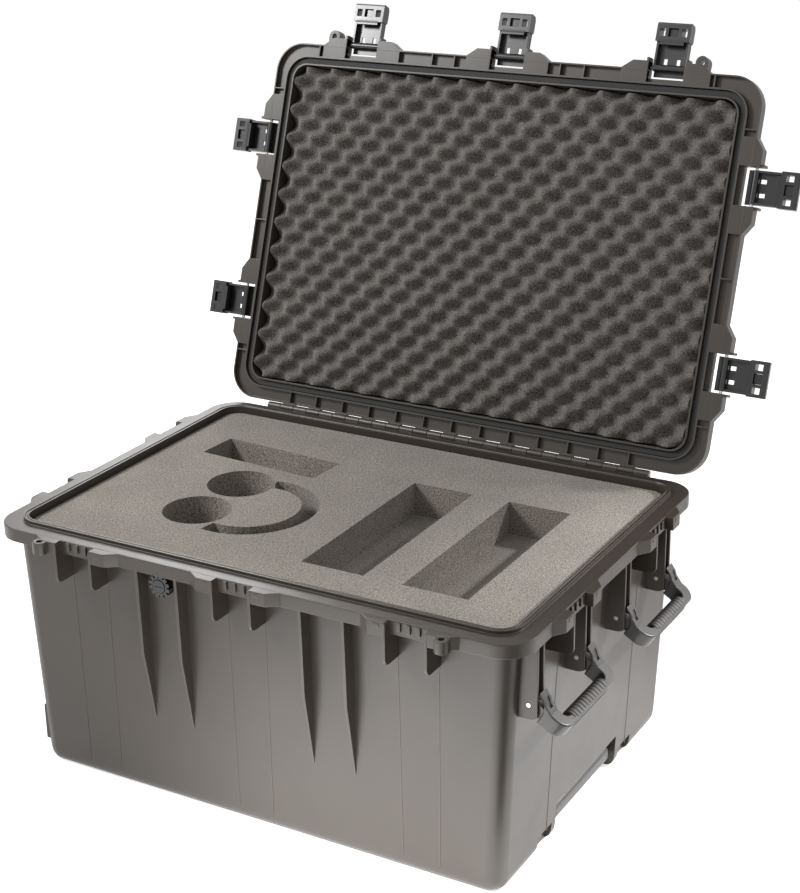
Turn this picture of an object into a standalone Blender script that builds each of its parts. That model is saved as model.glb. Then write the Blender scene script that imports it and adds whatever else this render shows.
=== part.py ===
"""Large moulded transport case, standing open.

A deep tub and a shallow lid turn on a long rod hinge. Seven draw latches hang on the lid, two
folding carry handles sit on each short side, a pull handle slides out of the bottom edge of the
right side, and two wheels sit in the bottom corners of the left side. Foam fills the tub and lid.

Metres, +Z up. X runs left to right, Y from front to back, and the origin is the middle of the
underside. The lid and its latches are modelled shut and then opened by their parent empties.
"""

import math

import bmesh
import bpy
from mathutils import Matrix, Vector

# Rim, where tub and lid meet
RIM_LENGTH = 0.822
RIM_DEPTH = 0.580
RIM_HEIGHT = 0.375
RIM_CORNER = 0.045
RIM_EDGE = 0.0015
FLANGE_PLATE = 0.004
SKIRT_DROP = 0.0195
SKIRT_WALL = 0.003
TONGUE_WIDTH = 0.008
TONGUE_RISE = 0.005
TONGUE_CORNER = 0.034
TONGUE_EDGE = 0.0012
LID_GAP = 0.0005

# Tub
WALL_SET_BACK = 0.022
WALL = 0.009
WALL_CORNER = 0.024
CAVITY_CORNER = 0.026
SIDE_DRAFT = 0.018
FRONT_DRAFT = 0.002
FLOOR_PLATE = 0.004
UNDER_RECESS = 0.030
FOOT_WIDTH = 0.028
CENTRE_FOOT = 0.070
BOTTOM_ROUND = 0.018

# Latch stations: ears, guard webs and striking tabs
FRONT_STATION_FROM_END = 0.153
SIDE_STATION_PITCH = 0.270
EAR_REACH = 0.012
EAR_START = 0.0285
EAR_FLAT_END = 0.053
EAR_SLOPE_END = 0.070
WEB_START = 0.0275
WEB_THICKNESS = 0.004
WEB_PROUD = 0.0004
WEB_BOTTOM = 0.0605
WEB_ROUND = 0.010
TAB_WIDTH = 0.006
TAB_PITCH = 0.014
TAB_REACH = 0.003
TAB_HEIGHT = 0.012
PADLOCK_REACH = 0.0145
PADLOCK_OFFSET = 0.053
PADLOCK_LOBE = 0.0098
PADLOCK_HOLE = 0.0040

# Stiffening fins on the front
FIN_PITCH = 0.064
FIN_THICKNESS = 0.0045
FIN_SET_IN = 0.0006
FIN_KINK_SET_IN = 0.0035
FIN_KINK_DROP = 0.143
FIN_TIP_DROP = 0.2545

# Folding carry handles
HANDLE_WIDTH = 0.1615
HANDLE_OFFSET = 0.0262
BRACKET_WIDTH = 0.020
BRACKET_WALL = 0.004
BRACKET_SET_IN = 0.0007
BRACKET_ROUND = 0.020
PIVOT_SET_IN = 0.013
PIVOT_DROP = 0.0995
HANDLE_ANGLE = math.radians(56)
ARM_DEPTH = 0.023
ARM_REACH = 0.0560
BAR_THICKNESS = 0.0115
HANDLE_CORNER = 0.019
HANDLE_INNER_CORNER = 0.010
HANDLE_BEVEL = 0.0016
ARM_TIP_OUT = 0.0250
ARM_TIP_BACK = 0.0234
ARM_TIP_ANGLE = math.radians(-2)
ARM_TIP_INNER_ANGLE = math.radians(-8)
ARM_TIP_BEND_ANGLE = math.radians(-40)
TANG_DEPTH = 0.016
TANG_THICKNESS = 0.0112
RECESS_WIDTH = 0.0085
RECESS_LENGTH = 0.0160
RECESS_DEPTH = 0.0055
RECESS_TURN = math.radians(36)
RECESS_MIDDLE = 0.0225
HANDLE_PIN = 0.003
PIN_PROUD = 0.0005
GRIP_FROM_END = 0.03075
GRIP_HEIGHT = 0.0105
GRIP_DEPTH = 0.021
GRIP_RIBS = 9
GRIP_GROOVE_DEPTH = 0.0012
GRIP_STEPS = 4

# Hinge
HINGE_FROM_END = 0.0785
KNUCKLES = 27
KNUCKLE_RADIUS = 0.006
KNUCKLE_GAP = 0.0006
HINGE_SET_OUT = 0.0065
HINGE_ROD = 0.002
NECK_STEP = 0.0005
LID_OPEN = math.radians(109.4)

# Lid
LID_CAVITY_DEPTH = 0.055
LID_TOP_PLATE = 0.006
LID_WALL_SET_BACK = 0.026
LID_DRAFT = 0.005
LID_ROUND = 0.012
LID_CAVITY_DRAFT = 0.002
LID_RIDGE = 0.003
CHANNEL_DEPTH = 0.008
CHANNEL_WALL = 0.0025
CHANNEL_RIB = 0.0022
GROOVE_DEPTH = 0.010
GROOVE_PLAY = 0.0008
GASKET_HEIGHT = 0.0047
PANEL_BORDER = 0.060
PANEL_SINK = 0.003

# Latches
LATCH_WIDTH = 0.050
LATCH_REACH = 0.0635
LATCH_TAIL = 0.0135
LATCH_OPEN = math.radians(92)
PIVOT_OUT = 0.004
PIVOT_RISE = 0.013
BARREL_RADIUS = 0.0052
LATCH_PIN = 0.0025
LATCH_PIN_END = 0.0338
PLATE_OUT = 0.006
PLATE_THICKNESS = 0.003
RAIL_WIDTH = 0.0035
RAIL_IN = 0.003
CAP_START = 0.0385
CAP_IN = 0.0072
CAP_OUT = 0.0105
CAP_WIDTH = 0.0530
CAP_BULGE = 0.003
CAP_SLOPE = 0.004
HOOK_LIP = 0.0085
HOOK_THICKNESS = 0.0038
HOOK_PLAY = 0.0005
HOOK_WIDTH = 0.038
SMALL_WINDOW_WIDTH = 0.0060
SMALL_WINDOW_LENGTH = 0.0085
SMALL_WINDOW_OFFSET = 0.0100
SMALL_WINDOW_START = 0.0066
LARGE_WINDOW_WIDTH = 0.0090
LARGE_WINDOW_LENGTH = 0.0115
LARGE_WINDOW_OFFSET = 0.0170
BUTTON_WIDTH = 0.015
BUTTON_LENGTH = 0.012
BUTTON_PROUD = 0.0012
BUTTON_SET_IN = 0.0030
LUG_REACH = 0.0175
LUG_WIDTH = 0.004
NOTCH_FLOOR = 0.013
NOTCH_HALF_WIDTH = 0.0283

# Pressure valve in the front wall
VALVE_ASIDE = 0.001
VALVE_DROP = 0.0390
VALVE_RADIUS = 0.017
VALVE_STEM = 0.010
VALVE_OUT = 0.013
VALVE_NOTCHES = 12
VALVE_NOTCH_WIDTH = 0.003
VALVE_NOTCH_DEPTH = 0.004
VALVE_CAP = 0.0095
VALVE_CAP_DEPTH = 0.006
VALVE_CAP_PROUD = 0.0008

# Pull handle in the bottom edge of the right side
PULL_BAR_LENGTH = 0.186
PULL_BAR_HEIGHT = 0.024
PULL_BAR_DEPTH = 0.0165
PULL_BAR_BEVEL = 0.003
PULL_BAR_UNDER = 0.014
PULL_BAR_SET_IN = 0.0045
PULL_RECESS_SIDE = 0.007
PULL_RECESS_OVER = 0.0125
PULL_FINGER_SPACE = 0.020
PULL_TUBE = 0.008
PULL_TUBE_PITCH = 0.160
PULL_TUBE_LENGTH = 0.450
SLEEVE_WALL = 0.0022
SLEEVE_LENGTH = 0.450
SLEEVE_SET_BACK = 0.030
TUBE_PLAY = 0.0003
HOUSING_WALL = 0.006
STACK_NOTCH_START = 0.112
STACK_NOTCH_LENGTH = 0.042
STACK_NOTCH_HEIGHT = 0.026
STACK_NOTCH_DEPTH = 0.010

# Wheels in the bottom corners of the left side
WHEEL_RADIUS = 0.030
WHEEL_PROUD = 0.015
WHEEL_RISE = 0.0145
WHEEL_WIDTH = 0.030
WHEEL_FROM_FRONT = 0.034
WELL_PLAY = 0.005
WELL_SIDE = 0.0033
HUB_RADIUS = 0.0205
HUB_SIDE_PLAY = 0.0006
TYRE_SHOULDER = 0.004
AXLE = 0.004
AXLE_SEAT = 0.006

# Foam
FOAM_PLAY = 0.0006
FOAM_SINK = 0.006
TOP_LAYER = 0.075
BOTTOM_PAD_OVER = 0.0015
LAYER_GAP = 0.0003
LID_FOAM_BACK = 0.020
LID_FOAM_PROUD = 0.001
EGG_COLUMNS = 32
EGG_ROWS = 22
POCKET_DEPTH = 0.050
BAY_LENGTH = 0.310
BAY_WIDTH = 0.096
BAY_Y = -0.030
BAY_A_X = 0.083
BAY_B_X = 0.237
SLIM_BAY_LENGTH = 0.208
SLIM_BAY_WIDTH = 0.068
SLIM_BAY_DEPTH = 0.040
SLIM_BAY_X = -0.208
SLIM_BAY_Y = 0.112
SLIM_BAY_TURN = math.radians(-4)
CUP_RADIUS = 0.050
CUP_X = -0.190
CUP_FRONT_Y = -0.105
CUP_BACK_Y = 0.005
BAND_RADIUS = 0.086
BAND_WIDTH = 0.026
BAND_X = -0.130
BAND_Y = -0.060
BAND_FROM = math.radians(-100)
BAND_TO = math.radians(100)

# Clearances and facets
GAP = 0.0003
OVERRUN = 0.002
EMBED = 0.0015
CORNER_STEPS = 4
ROUND_STEPS = 3
WHEEL_SIDES = 18
PIN_SIDES = 8

HALF_X = RIM_LENGTH / 2
HALF_Y = RIM_DEPTH / 2
FRONT_STATION_PITCH = HALF_X - FRONT_STATION_FROM_END
HINGE_LENGTH = RIM_LENGTH - 2 * HINGE_FROM_END
VALVE_X = -FRONT_STATION_PITCH / 2 - VALVE_ASIDE
WALL_TOP_X = HALF_X - WALL_SET_BACK
WALL_TOP_Y = HALF_Y - WALL_SET_BACK
CAVITY_X = WALL_TOP_X - WALL
CAVITY_Y = WALL_TOP_Y - WALL
SKIRT_BOTTOM = RIM_HEIGHT - SKIRT_DROP
LID_PLANE = RIM_HEIGHT + LID_GAP
FLOOR_TOP = UNDER_RECESS + FLOOR_PLATE
HINGE_Y = HALF_Y + HINGE_SET_OUT
HINGE_Z = RIM_HEIGHT + LID_GAP / 2
PIVOT_Z = RIM_HEIGHT - PIVOT_DROP
GRIP_CORE = ARM_REACH - BAR_THICKNESS
GRIP_LENGTH = HANDLE_WIDTH - 2 * GRIP_FROM_END


# Materials: colour, roughness and metallic value of each kind of surface.

def material(name, colour, roughness, metallic=0.0):
    made = bpy.data.materials.new(name)
    made.use_nodes = True
    surface = made.node_tree.nodes["Principled BSDF"]
    surface.inputs["Base Color"].default_value = (*colour, 1.0)
    surface.inputs["Roughness"].default_value = roughness
    surface.inputs["Metallic"].default_value = metallic
    return made


def make_materials():
    return {
        "shell": material("shell_plastic", (0.075, 0.066, 0.060), 0.48),
        "latch": material("latch_plastic", (0.022, 0.021, 0.020), 0.22),
        "button": material("button_plastic", (0.050, 0.050, 0.049), 0.30),
        "handle": material("handle_plastic", (0.060, 0.056, 0.053), 0.38),
        "grip": material("soft_grip", (0.035, 0.032, 0.030), 0.70),
        "gasket": material("gasket_rubber", (0.012, 0.012, 0.012), 0.75),
        "steel": material("bright_steel", (0.62, 0.61, 0.59), 0.25, 1.0),
        "tube": material("drawn_aluminium", (0.55, 0.55, 0.56), 0.35, 1.0),
        "tyre": material("wheel_rubber", (0.060, 0.055, 0.050), 0.65),
        "foam": material("grey_foam", (0.300, 0.272, 0.245), 0.95),
        "lid_foam": material("charcoal_foam", (0.080, 0.074, 0.068), 0.95),
    }


# Mesh pieces. Each function returns a list of (points, faces) in the frame that it is given.

def box(low, high):
    """A closed box between two corners."""
    (x0, y0, z0), (x1, y1, z1) = low, high
    points = [(x0, y0, z0), (x1, y0, z0), (x1, y1, z0), (x0, y1, z0),
              (x0, y0, z1), (x1, y0, z1), (x1, y1, z1), (x0, y1, z1)]
    faces = [(0, 3, 2, 1), (4, 5, 6, 7), (0, 1, 5, 4), (1, 2, 6, 5), (2, 3, 7, 6), (3, 0, 4, 7)]
    return [(points, faces)]


def prism(outline, axis, low, high):
    """An outline pulled along one axis. Along X it holds (y, z), along Y (x, z), along Z (x, y)."""
    def place(pair, level):
        a, b = pair
        return {"X": (level, a, b), "Y": (a, level, b), "Z": (a, b, level)}[axis]

    count = len(outline)
    points = [place(pair, low) for pair in outline] + [place(pair, high) for pair in outline]
    faces = [tuple(range(count))[::-1], tuple(range(count, 2 * count))]
    for i in range(count):
        j = (i + 1) % count
        faces.append((i, j, count + j, count + i))
    return [(points, faces)]


def arc(centre, radius, start, end, steps):
    """Points along a circular arc, both ends included."""
    return [(centre[0] + radius * math.cos(start + (end - start) * k / steps),
             centre[1] + radius * math.sin(start + (end - start) * k / steps))
            for k in range(steps + 1)]


def circle(centre, radius, sides):
    turn = math.tau / sides
    return [(centre[0] + radius * math.cos(turn * (k + 0.5)),
             centre[1] + radius * math.sin(turn * (k + 0.5))) for k in range(sides)]


def rod(axis, centre, radius, low, high, sides=PIN_SIDES):
    return prism(circle(centre, radius, sides), axis, low, high)


def rounded_outline(half_x, half_y, radius, steps=CORNER_STEPS):
    """A rounded rectangle round the origin, counter-clockwise, with the same count each time."""
    outline = []
    for turn, (sx, sy) in enumerate(((1, 1), (-1, 1), (-1, -1), (1, -1))):
        centre = (sx * (half_x - radius), sy * (half_y - radius))
        start = turn * math.pi / 2
        outline += arc(centre, radius, start, start + math.pi / 2, steps)
    return outline


def loft(rings):
    """Skins a stack of outlines given as (outline, z). The first and last are closed with caps."""
    count = len(rings[0][0])
    points = [(x, y, z) for outline, z in rings for x, y in outline]
    faces = [tuple(range(count)), tuple(range((len(rings) - 1) * count, len(rings) * count))]
    for level in range(len(rings) - 1):
        for i in range(count):
            j = (i + 1) % count
            low, high = level * count, (level + 1) * count
            faces.append((low + i, low + j, high + j, high + i))
    return [(points, faces)]


def turned(profile, sides):
    """A ring turned about the Y axis from a closed profile of (radius, y) points."""
    count = len(profile)
    points, faces = [], []
    for k in range(sides):
        angle = math.tau * k / sides
        points += [(r * math.cos(angle), y, r * math.sin(angle)) for r, y in profile]
    for k in range(sides):
        near, far = k * count, (k + 1) % sides * count
        for i in range(count):
            j = (i + 1) % count
            faces.append((near + i, near + j, far + j, far + i))
    return [(points, faces)]


def moved(pieces, matrix):
    return [([tuple(matrix @ Vector(point)) for point in points], faces)
            for points, faces in pieces]


# Objects

def mesh_of(name, pieces):
    """One mesh from closed pieces, each with its faces turned outwards."""
    whole = bpy.data.meshes.new(name)
    gathered = bmesh.new()
    for points, faces in pieces:
        verts = [gathered.verts.new(point) for point in points]
        made = [gathered.faces.new([verts[i] for i in face]) for face in faces]
        bmesh.ops.recalc_face_normals(gathered, faces=made)
    gathered.to_mesh(whole)
    gathered.free()
    return whole


def place(name, mesh, finish, parent=None, location=(0, 0, 0), rotation=(0, 0, 0)):
    made = bpy.data.objects.new(name, mesh)
    bpy.context.collection.objects.link(made)
    made.parent = parent
    made.location = location
    made.rotation_euler = rotation
    if finish is not None:
        made.data.materials.append(finish)
        made.data.shade_smooth()
        made.data.set_sharp_from_angle(angle=math.radians(32))
    return made


def tool(name, pieces, parent=None):
    """A helper solid that joins or cuts another and is never rendered."""
    made = place(name, mesh_of(name, pieces), None, parent)
    made.hide_render = True
    made.display_type = "WIRE"
    return made


def combine(target, helper, operation):
    step = target.modifiers.new(f"{operation.lower()}_{helper.name}", "BOOLEAN")
    step.operation = operation
    step.solver = "EXACT"
    step.object = helper


def add(target, name, pieces, parent=None):
    combine(target, tool(name, pieces, parent), "UNION")


def cut(target, name, pieces, parent=None):
    combine(target, tool(name, pieces, parent), "DIFFERENCE")


def empty(name, location=(0, 0, 0), rotation=(0, 0, 0), parent=None):
    made = bpy.data.objects.new(name, None)
    bpy.context.collection.objects.link(made)
    made.parent = parent
    made.location = location
    made.rotation_euler = rotation
    return made


# Latch stations. In a station's own frame X runs along the wall, -Y points out from the rim's
# edge, and Z is world height.

def stations():
    """Every latch station as (name, frame, on_a_side, has_padlock_ear_at)."""
    rows = []
    for index, name in enumerate(("front_left", "front_middle", "front_right")):
        x = (index - 1) * FRONT_STATION_PITCH
        frame = Matrix.Translation((x, -HALF_Y, 0))
        rows.append((name, frame, False, index - 1))
    for side, sign in (("right", 1), ("left", -1)):
        for end, where in (("front", -1), ("back", 1)):
            frame = Matrix.Translation((sign * HALF_X, where * SIDE_STATION_PITCH / 2, 0))
            frame = frame @ Matrix.Rotation(sign * math.pi / 2, 4, "Z")
            rows.append((f"{side}_{end}", frame, True, 0))
    return rows


def ear_outline(sign, root):
    points = [(EAR_START, root), (EAR_START, -EAR_REACH), (EAR_FLAT_END, -EAR_REACH),
              (EAR_SLOPE_END, 0), (EAR_SLOPE_END, root)]
    return [(sign * u, out) for u, out in points]


def ears(root, low, high):
    pieces = []
    for sign in (-1, 1):
        pieces += prism(ear_outline(sign, root), "Z", low, high)
    return pieces


def padlock_lobe(side, root, low, high):
    """The rounded tab of the outermost front ear that a padlock's shackle goes through."""
    centre = (side * PADLOCK_OFFSET, -PADLOCK_REACH)
    outline = arc(centre, PADLOCK_LOBE, math.pi, math.tau, 2 * ROUND_STEPS)
    outline += [(centre[0] + PADLOCK_LOBE, root), (centre[0] - PADLOCK_LOBE, root)]
    return prism(outline, "Z", low, high)


def padlock_hole(side, low, high):
    return rod("Z", (side * PADLOCK_OFFSET, -PADLOCK_REACH), PADLOCK_HOLE, low, high, 12)


def guard_webs(signs, inner):
    """Thin webs that hang from the ears beside a latch, with a rounded outer bottom corner."""
    out = EAR_REACH + WEB_PROUD
    low = RIM_HEIGHT - WEB_BOTTOM
    corner = arc((-out + WEB_ROUND, low + WEB_ROUND), WEB_ROUND, math.pi, 1.5 * math.pi, ROUND_STEPS)
    top = RIM_HEIGHT - FLANGE_PLATE / 2
    outline = [(inner, top), (-out, top)] + corner + [(inner, low)]
    pieces = []
    for sign in signs:
        near, far = sorted((sign * WEB_START, sign * (WEB_START + WEB_THICKNESS)))
        pieces += prism(outline, "X", near, far)
    return pieces


def striking_tabs():
    pieces = []
    for step in (-1, 0, 1):
        middle = step * TAB_PITCH
        top = RIM_HEIGHT - RIM_EDGE
        pieces += box((middle - TAB_WIDTH / 2, -TAB_REACH, top - TAB_HEIGHT),
                      (middle + TAB_WIDTH / 2, SKIRT_WALL / 2, top))
    return pieces


# Tub

def wall_size(z):
    """Half length and half depth of the tub's outer wall at a height."""
    share = 1 - z / RIM_HEIGHT
    return WALL_TOP_X - SIDE_DRAFT * share, WALL_TOP_Y - FRONT_DRAFT * share


def tub_rings():
    """Outlines of the tub from its inner floor, over the rim and down to its underside."""
    floor_x, floor_y = wall_size(FLOOR_TOP)
    thin = WALL - 2 * FRONT_DRAFT
    rings = [(floor_x - thin, floor_y - thin, CAVITY_CORNER, FLOOR_TOP)]
    tongue_top = RIM_HEIGHT + TONGUE_RISE
    outer_x, outer_y = CAVITY_X + TONGUE_WIDTH, CAVITY_Y + TONGUE_WIDTH
    rings += [
        (CAVITY_X, CAVITY_Y, CAVITY_CORNER, tongue_top - TONGUE_EDGE),
        (CAVITY_X + TONGUE_EDGE, CAVITY_Y + TONGUE_EDGE, CAVITY_CORNER, tongue_top),
        (outer_x - TONGUE_EDGE, outer_y - TONGUE_EDGE, TONGUE_CORNER, tongue_top),
        (outer_x, outer_y, TONGUE_CORNER, tongue_top - TONGUE_EDGE),
        (outer_x, outer_y, TONGUE_CORNER, RIM_HEIGHT),
        (HALF_X - RIM_EDGE, HALF_Y - RIM_EDGE, RIM_CORNER - RIM_EDGE, RIM_HEIGHT),
        (HALF_X, HALF_Y, RIM_CORNER, RIM_HEIGHT - RIM_EDGE),
        (HALF_X, HALF_Y, RIM_CORNER, SKIRT_BOTTOM),
        (HALF_X - SKIRT_WALL, HALF_Y - SKIRT_WALL, RIM_CORNER - SKIRT_WALL, SKIRT_BOTTOM),
        (HALF_X - SKIRT_WALL, HALF_Y - SKIRT_WALL, RIM_CORNER - SKIRT_WALL,
         RIM_HEIGHT - FLANGE_PLATE),
        (*wall_size(RIM_HEIGHT - FLANGE_PLATE), WALL_CORNER, RIM_HEIGHT - FLANGE_PLATE),
    ]
    base_x, base_y = wall_size(BOTTOM_ROUND)
    for inward, up in arc((0, 0), BOTTOM_ROUND, 0, -math.pi / 2, ROUND_STEPS):
        inset = BOTTOM_ROUND - inward
        rings.append((base_x - inset, base_y - inset, max(WALL_CORNER - inset, WALL_CORNER / 3),
                      BOTTOM_ROUND + up))
    foot_x, foot_y = base_x - FOOT_WIDTH, base_y - FOOT_WIDTH
    rings += [(foot_x, foot_y, WALL_CORNER / 3, 0), (foot_x, foot_y, WALL_CORNER / 3, UNDER_RECESS)]
    return [(rounded_outline(x, y, radius), z) for x, y, radius, z in rings]


def bottom_half_x():
    return wall_size(BOTTOM_ROUND)[0]


def fins():
    """Four long fins under the front flange, deep at the top and running out to the wall."""
    wall = -WALL_TOP_Y + FRONT_DRAFT + EMBED
    outline = [
        (wall, RIM_HEIGHT - FLANGE_PLATE / 2),
        (-HALF_Y + FIN_SET_IN, RIM_HEIGHT - FLANGE_PLATE / 2),
        (-HALF_Y + FIN_SET_IN, SKIRT_BOTTOM),
        (-HALF_Y + FIN_KINK_SET_IN, RIM_HEIGHT - FIN_KINK_DROP),
        (-WALL_TOP_Y + FRONT_DRAFT, RIM_HEIGHT - FIN_TIP_DROP),
        (wall, RIM_HEIGHT - FIN_TIP_DROP),
    ]
    pieces = []
    for pair in (-1, 1):
        for one in (-1, 1):
            x = pair * FRONT_STATION_PITCH / 2 + one * FIN_PITCH / 2
            pieces += prism(outline, "X", x - FIN_THICKNESS / 2, x + FIN_THICKNESS / 2)
    return pieces


def handle_frames():
    """Every carry handle as (name, frame of its pivot axis, side sign)."""
    rows = []
    for side, sign in (("right", 1), ("left", -1)):
        for end, where in (("front", -1), ("back", 1)):
            y = where * SIDE_STATION_PITCH / 2 - sign * HANDLE_OFFSET
            rows.append((f"{side}_{end}", (sign * (HALF_X - PIVOT_SET_IN), y, PIVOT_Z), sign))
    return rows


def bracket_middles(handle_y):
    reach = (HANDLE_WIDTH - BRACKET_WIDTH) / 2
    return handle_y - reach, handle_y + reach


def handle_brackets(side):
    """Double-walled brackets that run from the flange down past each handle pivot."""
    pivot = (HALF_X - PIVOT_SET_IN, PIVOT_Z)
    low = PIVOT_Z - BRACKET_ROUND
    inner = wall_size(low)[0] - EMBED
    outer = HALF_X - BRACKET_SET_IN
    top = RIM_HEIGHT - FLANGE_PLATE / 2
    end_angle = -math.acos((outer - pivot[0]) / BRACKET_ROUND)
    outline = [(inner, top), (outer, top)]
    outline += arc(pivot, BRACKET_ROUND, end_angle, -math.pi / 2, ROUND_STEPS)
    outline += [(inner, low)]
    outline = [(side * x, z) for x, z in outline]
    pieces = []
    for _, (_, handle_y, _), sign in handle_frames():
        if sign != side:
            continue
        for middle in bracket_middles(handle_y):
            for one in (-1, 1):
                near = middle + one * BRACKET_WIDTH / 2
                far = near - one * BRACKET_WALL
                pieces += prism(outline, "Y", min(near, far), max(near, far))
    return pieces


def handle_pin_holes(side):
    pieces = []
    x = side * (HALF_X - PIVOT_SET_IN)
    for _, (_, handle_y, _), sign in handle_frames():
        if sign != side:
            continue
        for middle in bracket_middles(handle_y):
            reach = BRACKET_WIDTH / 2 + OVERRUN
            pieces += rod("Y", (x, PIVOT_Z), HANDLE_PIN + GAP, middle - reach, middle + reach)
    return pieces


def knuckle_spans(first):
    """X ranges of every second hinge knuckle, starting with the first or the second."""
    pitch = HINGE_LENGTH / KNUCKLES
    spans = []
    for k in range(first, KNUCKLES, 2):
        left = -HINGE_LENGTH / 2 + k * pitch
        spans.append((left + KNUCKLE_GAP / 2, left + pitch - KNUCKLE_GAP / 2))
    return spans


def knuckles(first, above):
    """Barrels round the hinge rod, each with a neck to the flange below or above the axis."""
    pieces = []
    for low, high in knuckle_spans(first):
        side = 1 if above else -1
        neck = [(HALF_Y - EMBED, HINGE_Z + side * KNUCKLE_RADIUS),
                (HALF_Y - EMBED, HINGE_Z + side * NECK_STEP),
                (HALF_Y + (HINGE_SET_OUT - KNUCKLE_RADIUS), HINGE_Z + side * NECK_STEP)]
        outline = [(HINGE_Y, HINGE_Z + side * KNUCKLE_RADIUS)] + neck
        outline += arc((HINGE_Y, HINGE_Z), KNUCKLE_RADIUS, math.pi,
                       math.pi + side * 1.5 * math.pi, 2 * ROUND_STEPS)
        pieces += prism(outline[:-1], "X", low, high)
    return pieces


def hinge_bore():
    reach = HINGE_LENGTH / 2 + OVERRUN
    return rod("X", (HINGE_Y, HINGE_Z), HINGE_ROD + GAP, -reach, reach)


def pull_recess():
    """Open space round the pull handle's bar, out of the wall and down to the floor."""
    back = pull_bar_back() - PULL_FINGER_SPACE
    half = PULL_BAR_LENGTH / 2 + PULL_RECESS_SIDE
    top = PULL_BAR_UNDER + PULL_BAR_HEIGHT + PULL_RECESS_OVER
    outer = wall_size(top)[0] + OVERRUN
    return (back, -half, -OVERRUN), (outer, half, top)


def pull_bar_back():
    return bottom_half_x() - PULL_BAR_SET_IN - PULL_BAR_DEPTH


def wheel_centre(end):
    x = -(bottom_half_x() + WHEEL_PROUD - WHEEL_RADIUS)
    y = end * (wall_size(0)[1] - WHEEL_FROM_FRONT)
    return x, y, WHEEL_RISE + WHEEL_RADIUS


def wheel_well(end):
    x, y, z = wheel_centre(end)
    half = WHEEL_WIDTH / 2 + WELL_SIDE
    reach = WHEEL_RADIUS + WELL_PLAY
    outer = -wall_size(z + reach)[0] - OVERRUN
    return (outer, y - half, -OVERRUN), (x + reach, y + half, z + reach)


def make_housings(shell):
    """Centre foot, and the boxes moulded round the pull handle's recess and the wheel wells."""
    foot = CENTRE_FOOT / 2
    pieces = box((-foot, -foot, 0), (foot, foot, UNDER_RECESS + EMBED))
    low, high = pull_recess()
    pieces += box((low[0] - HOUSING_WALL, low[1] - HOUSING_WALL, UNDER_RECESS + EMBED / 2),
                 (bottom_half_x() - EMBED, high[1] + HOUSING_WALL, high[2] + HOUSING_WALL))
    for end in (-1, 1):
        low, high = wheel_well(end)
        outer_y = end * (CAVITY_Y + EMBED)
        inner_y = low[1] - HOUSING_WALL if end > 0 else high[1] + HOUSING_WALL
        pieces += box((-bottom_half_x() + EMBED, min(outer_y, inner_y), UNDER_RECESS + EMBED / 2),
                      (high[0] + HOUSING_WALL, max(outer_y, inner_y), high[2] + HOUSING_WALL))
    add(shell, "tool_housings", pieces)
    pieces = box(*pull_recess())
    for end in (-1, 1):
        pieces += box(*wheel_well(end))
        near = end * STACK_NOTCH_START
        far = end * (STACK_NOTCH_START + STACK_NOTCH_LENGTH)
        pieces += box((bottom_half_x() - STACK_NOTCH_DEPTH, min(near, far), -OVERRUN),
                      (bottom_half_x() + OVERRUN, max(near, far), STACK_NOTCH_HEIGHT))
    cut(shell, "tool_recesses", pieces)


def axle_span(end):
    low, high = wheel_well(end)
    return low[1] - AXLE_SEAT, high[1] + AXLE_SEAT


def make_tub(finish):
    shell = place("base_shell", mesh_of("base_shell", loft(tub_rings())), finish)
    low, high = SKIRT_BOTTOM + WEB_PROUD, RIM_HEIGHT - WEB_PROUD
    root = SKIRT_WALL / 2 + RIM_EDGE / 2
    ear_pieces, lobes, webs, tabs, holes = [], [], [], [], []
    for _, frame, on_side, padlock in stations():
        ear_pieces += moved(ears(root, low, high), frame)
        tabs += moved(striking_tabs(), frame)
        signs = (-1,) if on_side else (-1, 1)
        inner_wall = wall_size(RIM_HEIGHT - WEB_BOTTOM)
        inner = HALF_X - inner_wall[0] if on_side else HALF_Y - inner_wall[1]
        webs += moved(guard_webs(signs, inner + EMBED), frame)
        if padlock:
            lobes += moved(padlock_lobe(padlock, root, low + WEB_PROUD, high - WEB_PROUD), frame)
            holes += moved(padlock_hole(padlock, low - OVERRUN, high + OVERRUN), frame)
    add(shell, "tool_ears", ear_pieces)
    add(shell, "tool_padlock_lobes", lobes)
    add(shell, "tool_webs", webs)
    add(shell, "tool_tabs", tabs)
    add(shell, "tool_fins", fins())
    add(shell, "tool_brackets", handle_brackets(1) + handle_brackets(-1))
    add(shell, "tool_base_knuckles", knuckles(0, False))
    make_housings(shell)
    holes += handle_pin_holes(1) + handle_pin_holes(-1)
    holes += rod("Y", (VALVE_X, RIM_HEIGHT - VALVE_DROP), VALVE_STEM + GAP,
                 -WALL_TOP_Y - OVERRUN, -CAVITY_Y + OVERRUN, 16)
    for end in (-1, 1):
        x, _, z = wheel_centre(end)
        low_y, high_y = axle_span(end)
        holes += rod("Y", (x, z), AXLE + GAP, low_y - GAP, high_y + GAP)
    cut(shell, "tool_holes", holes)
    cut(shell, "tool_base_bore", hinge_bore())
    return shell


# Lid, modelled shut. Its parent empty on the hinge axis opens it.

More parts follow.
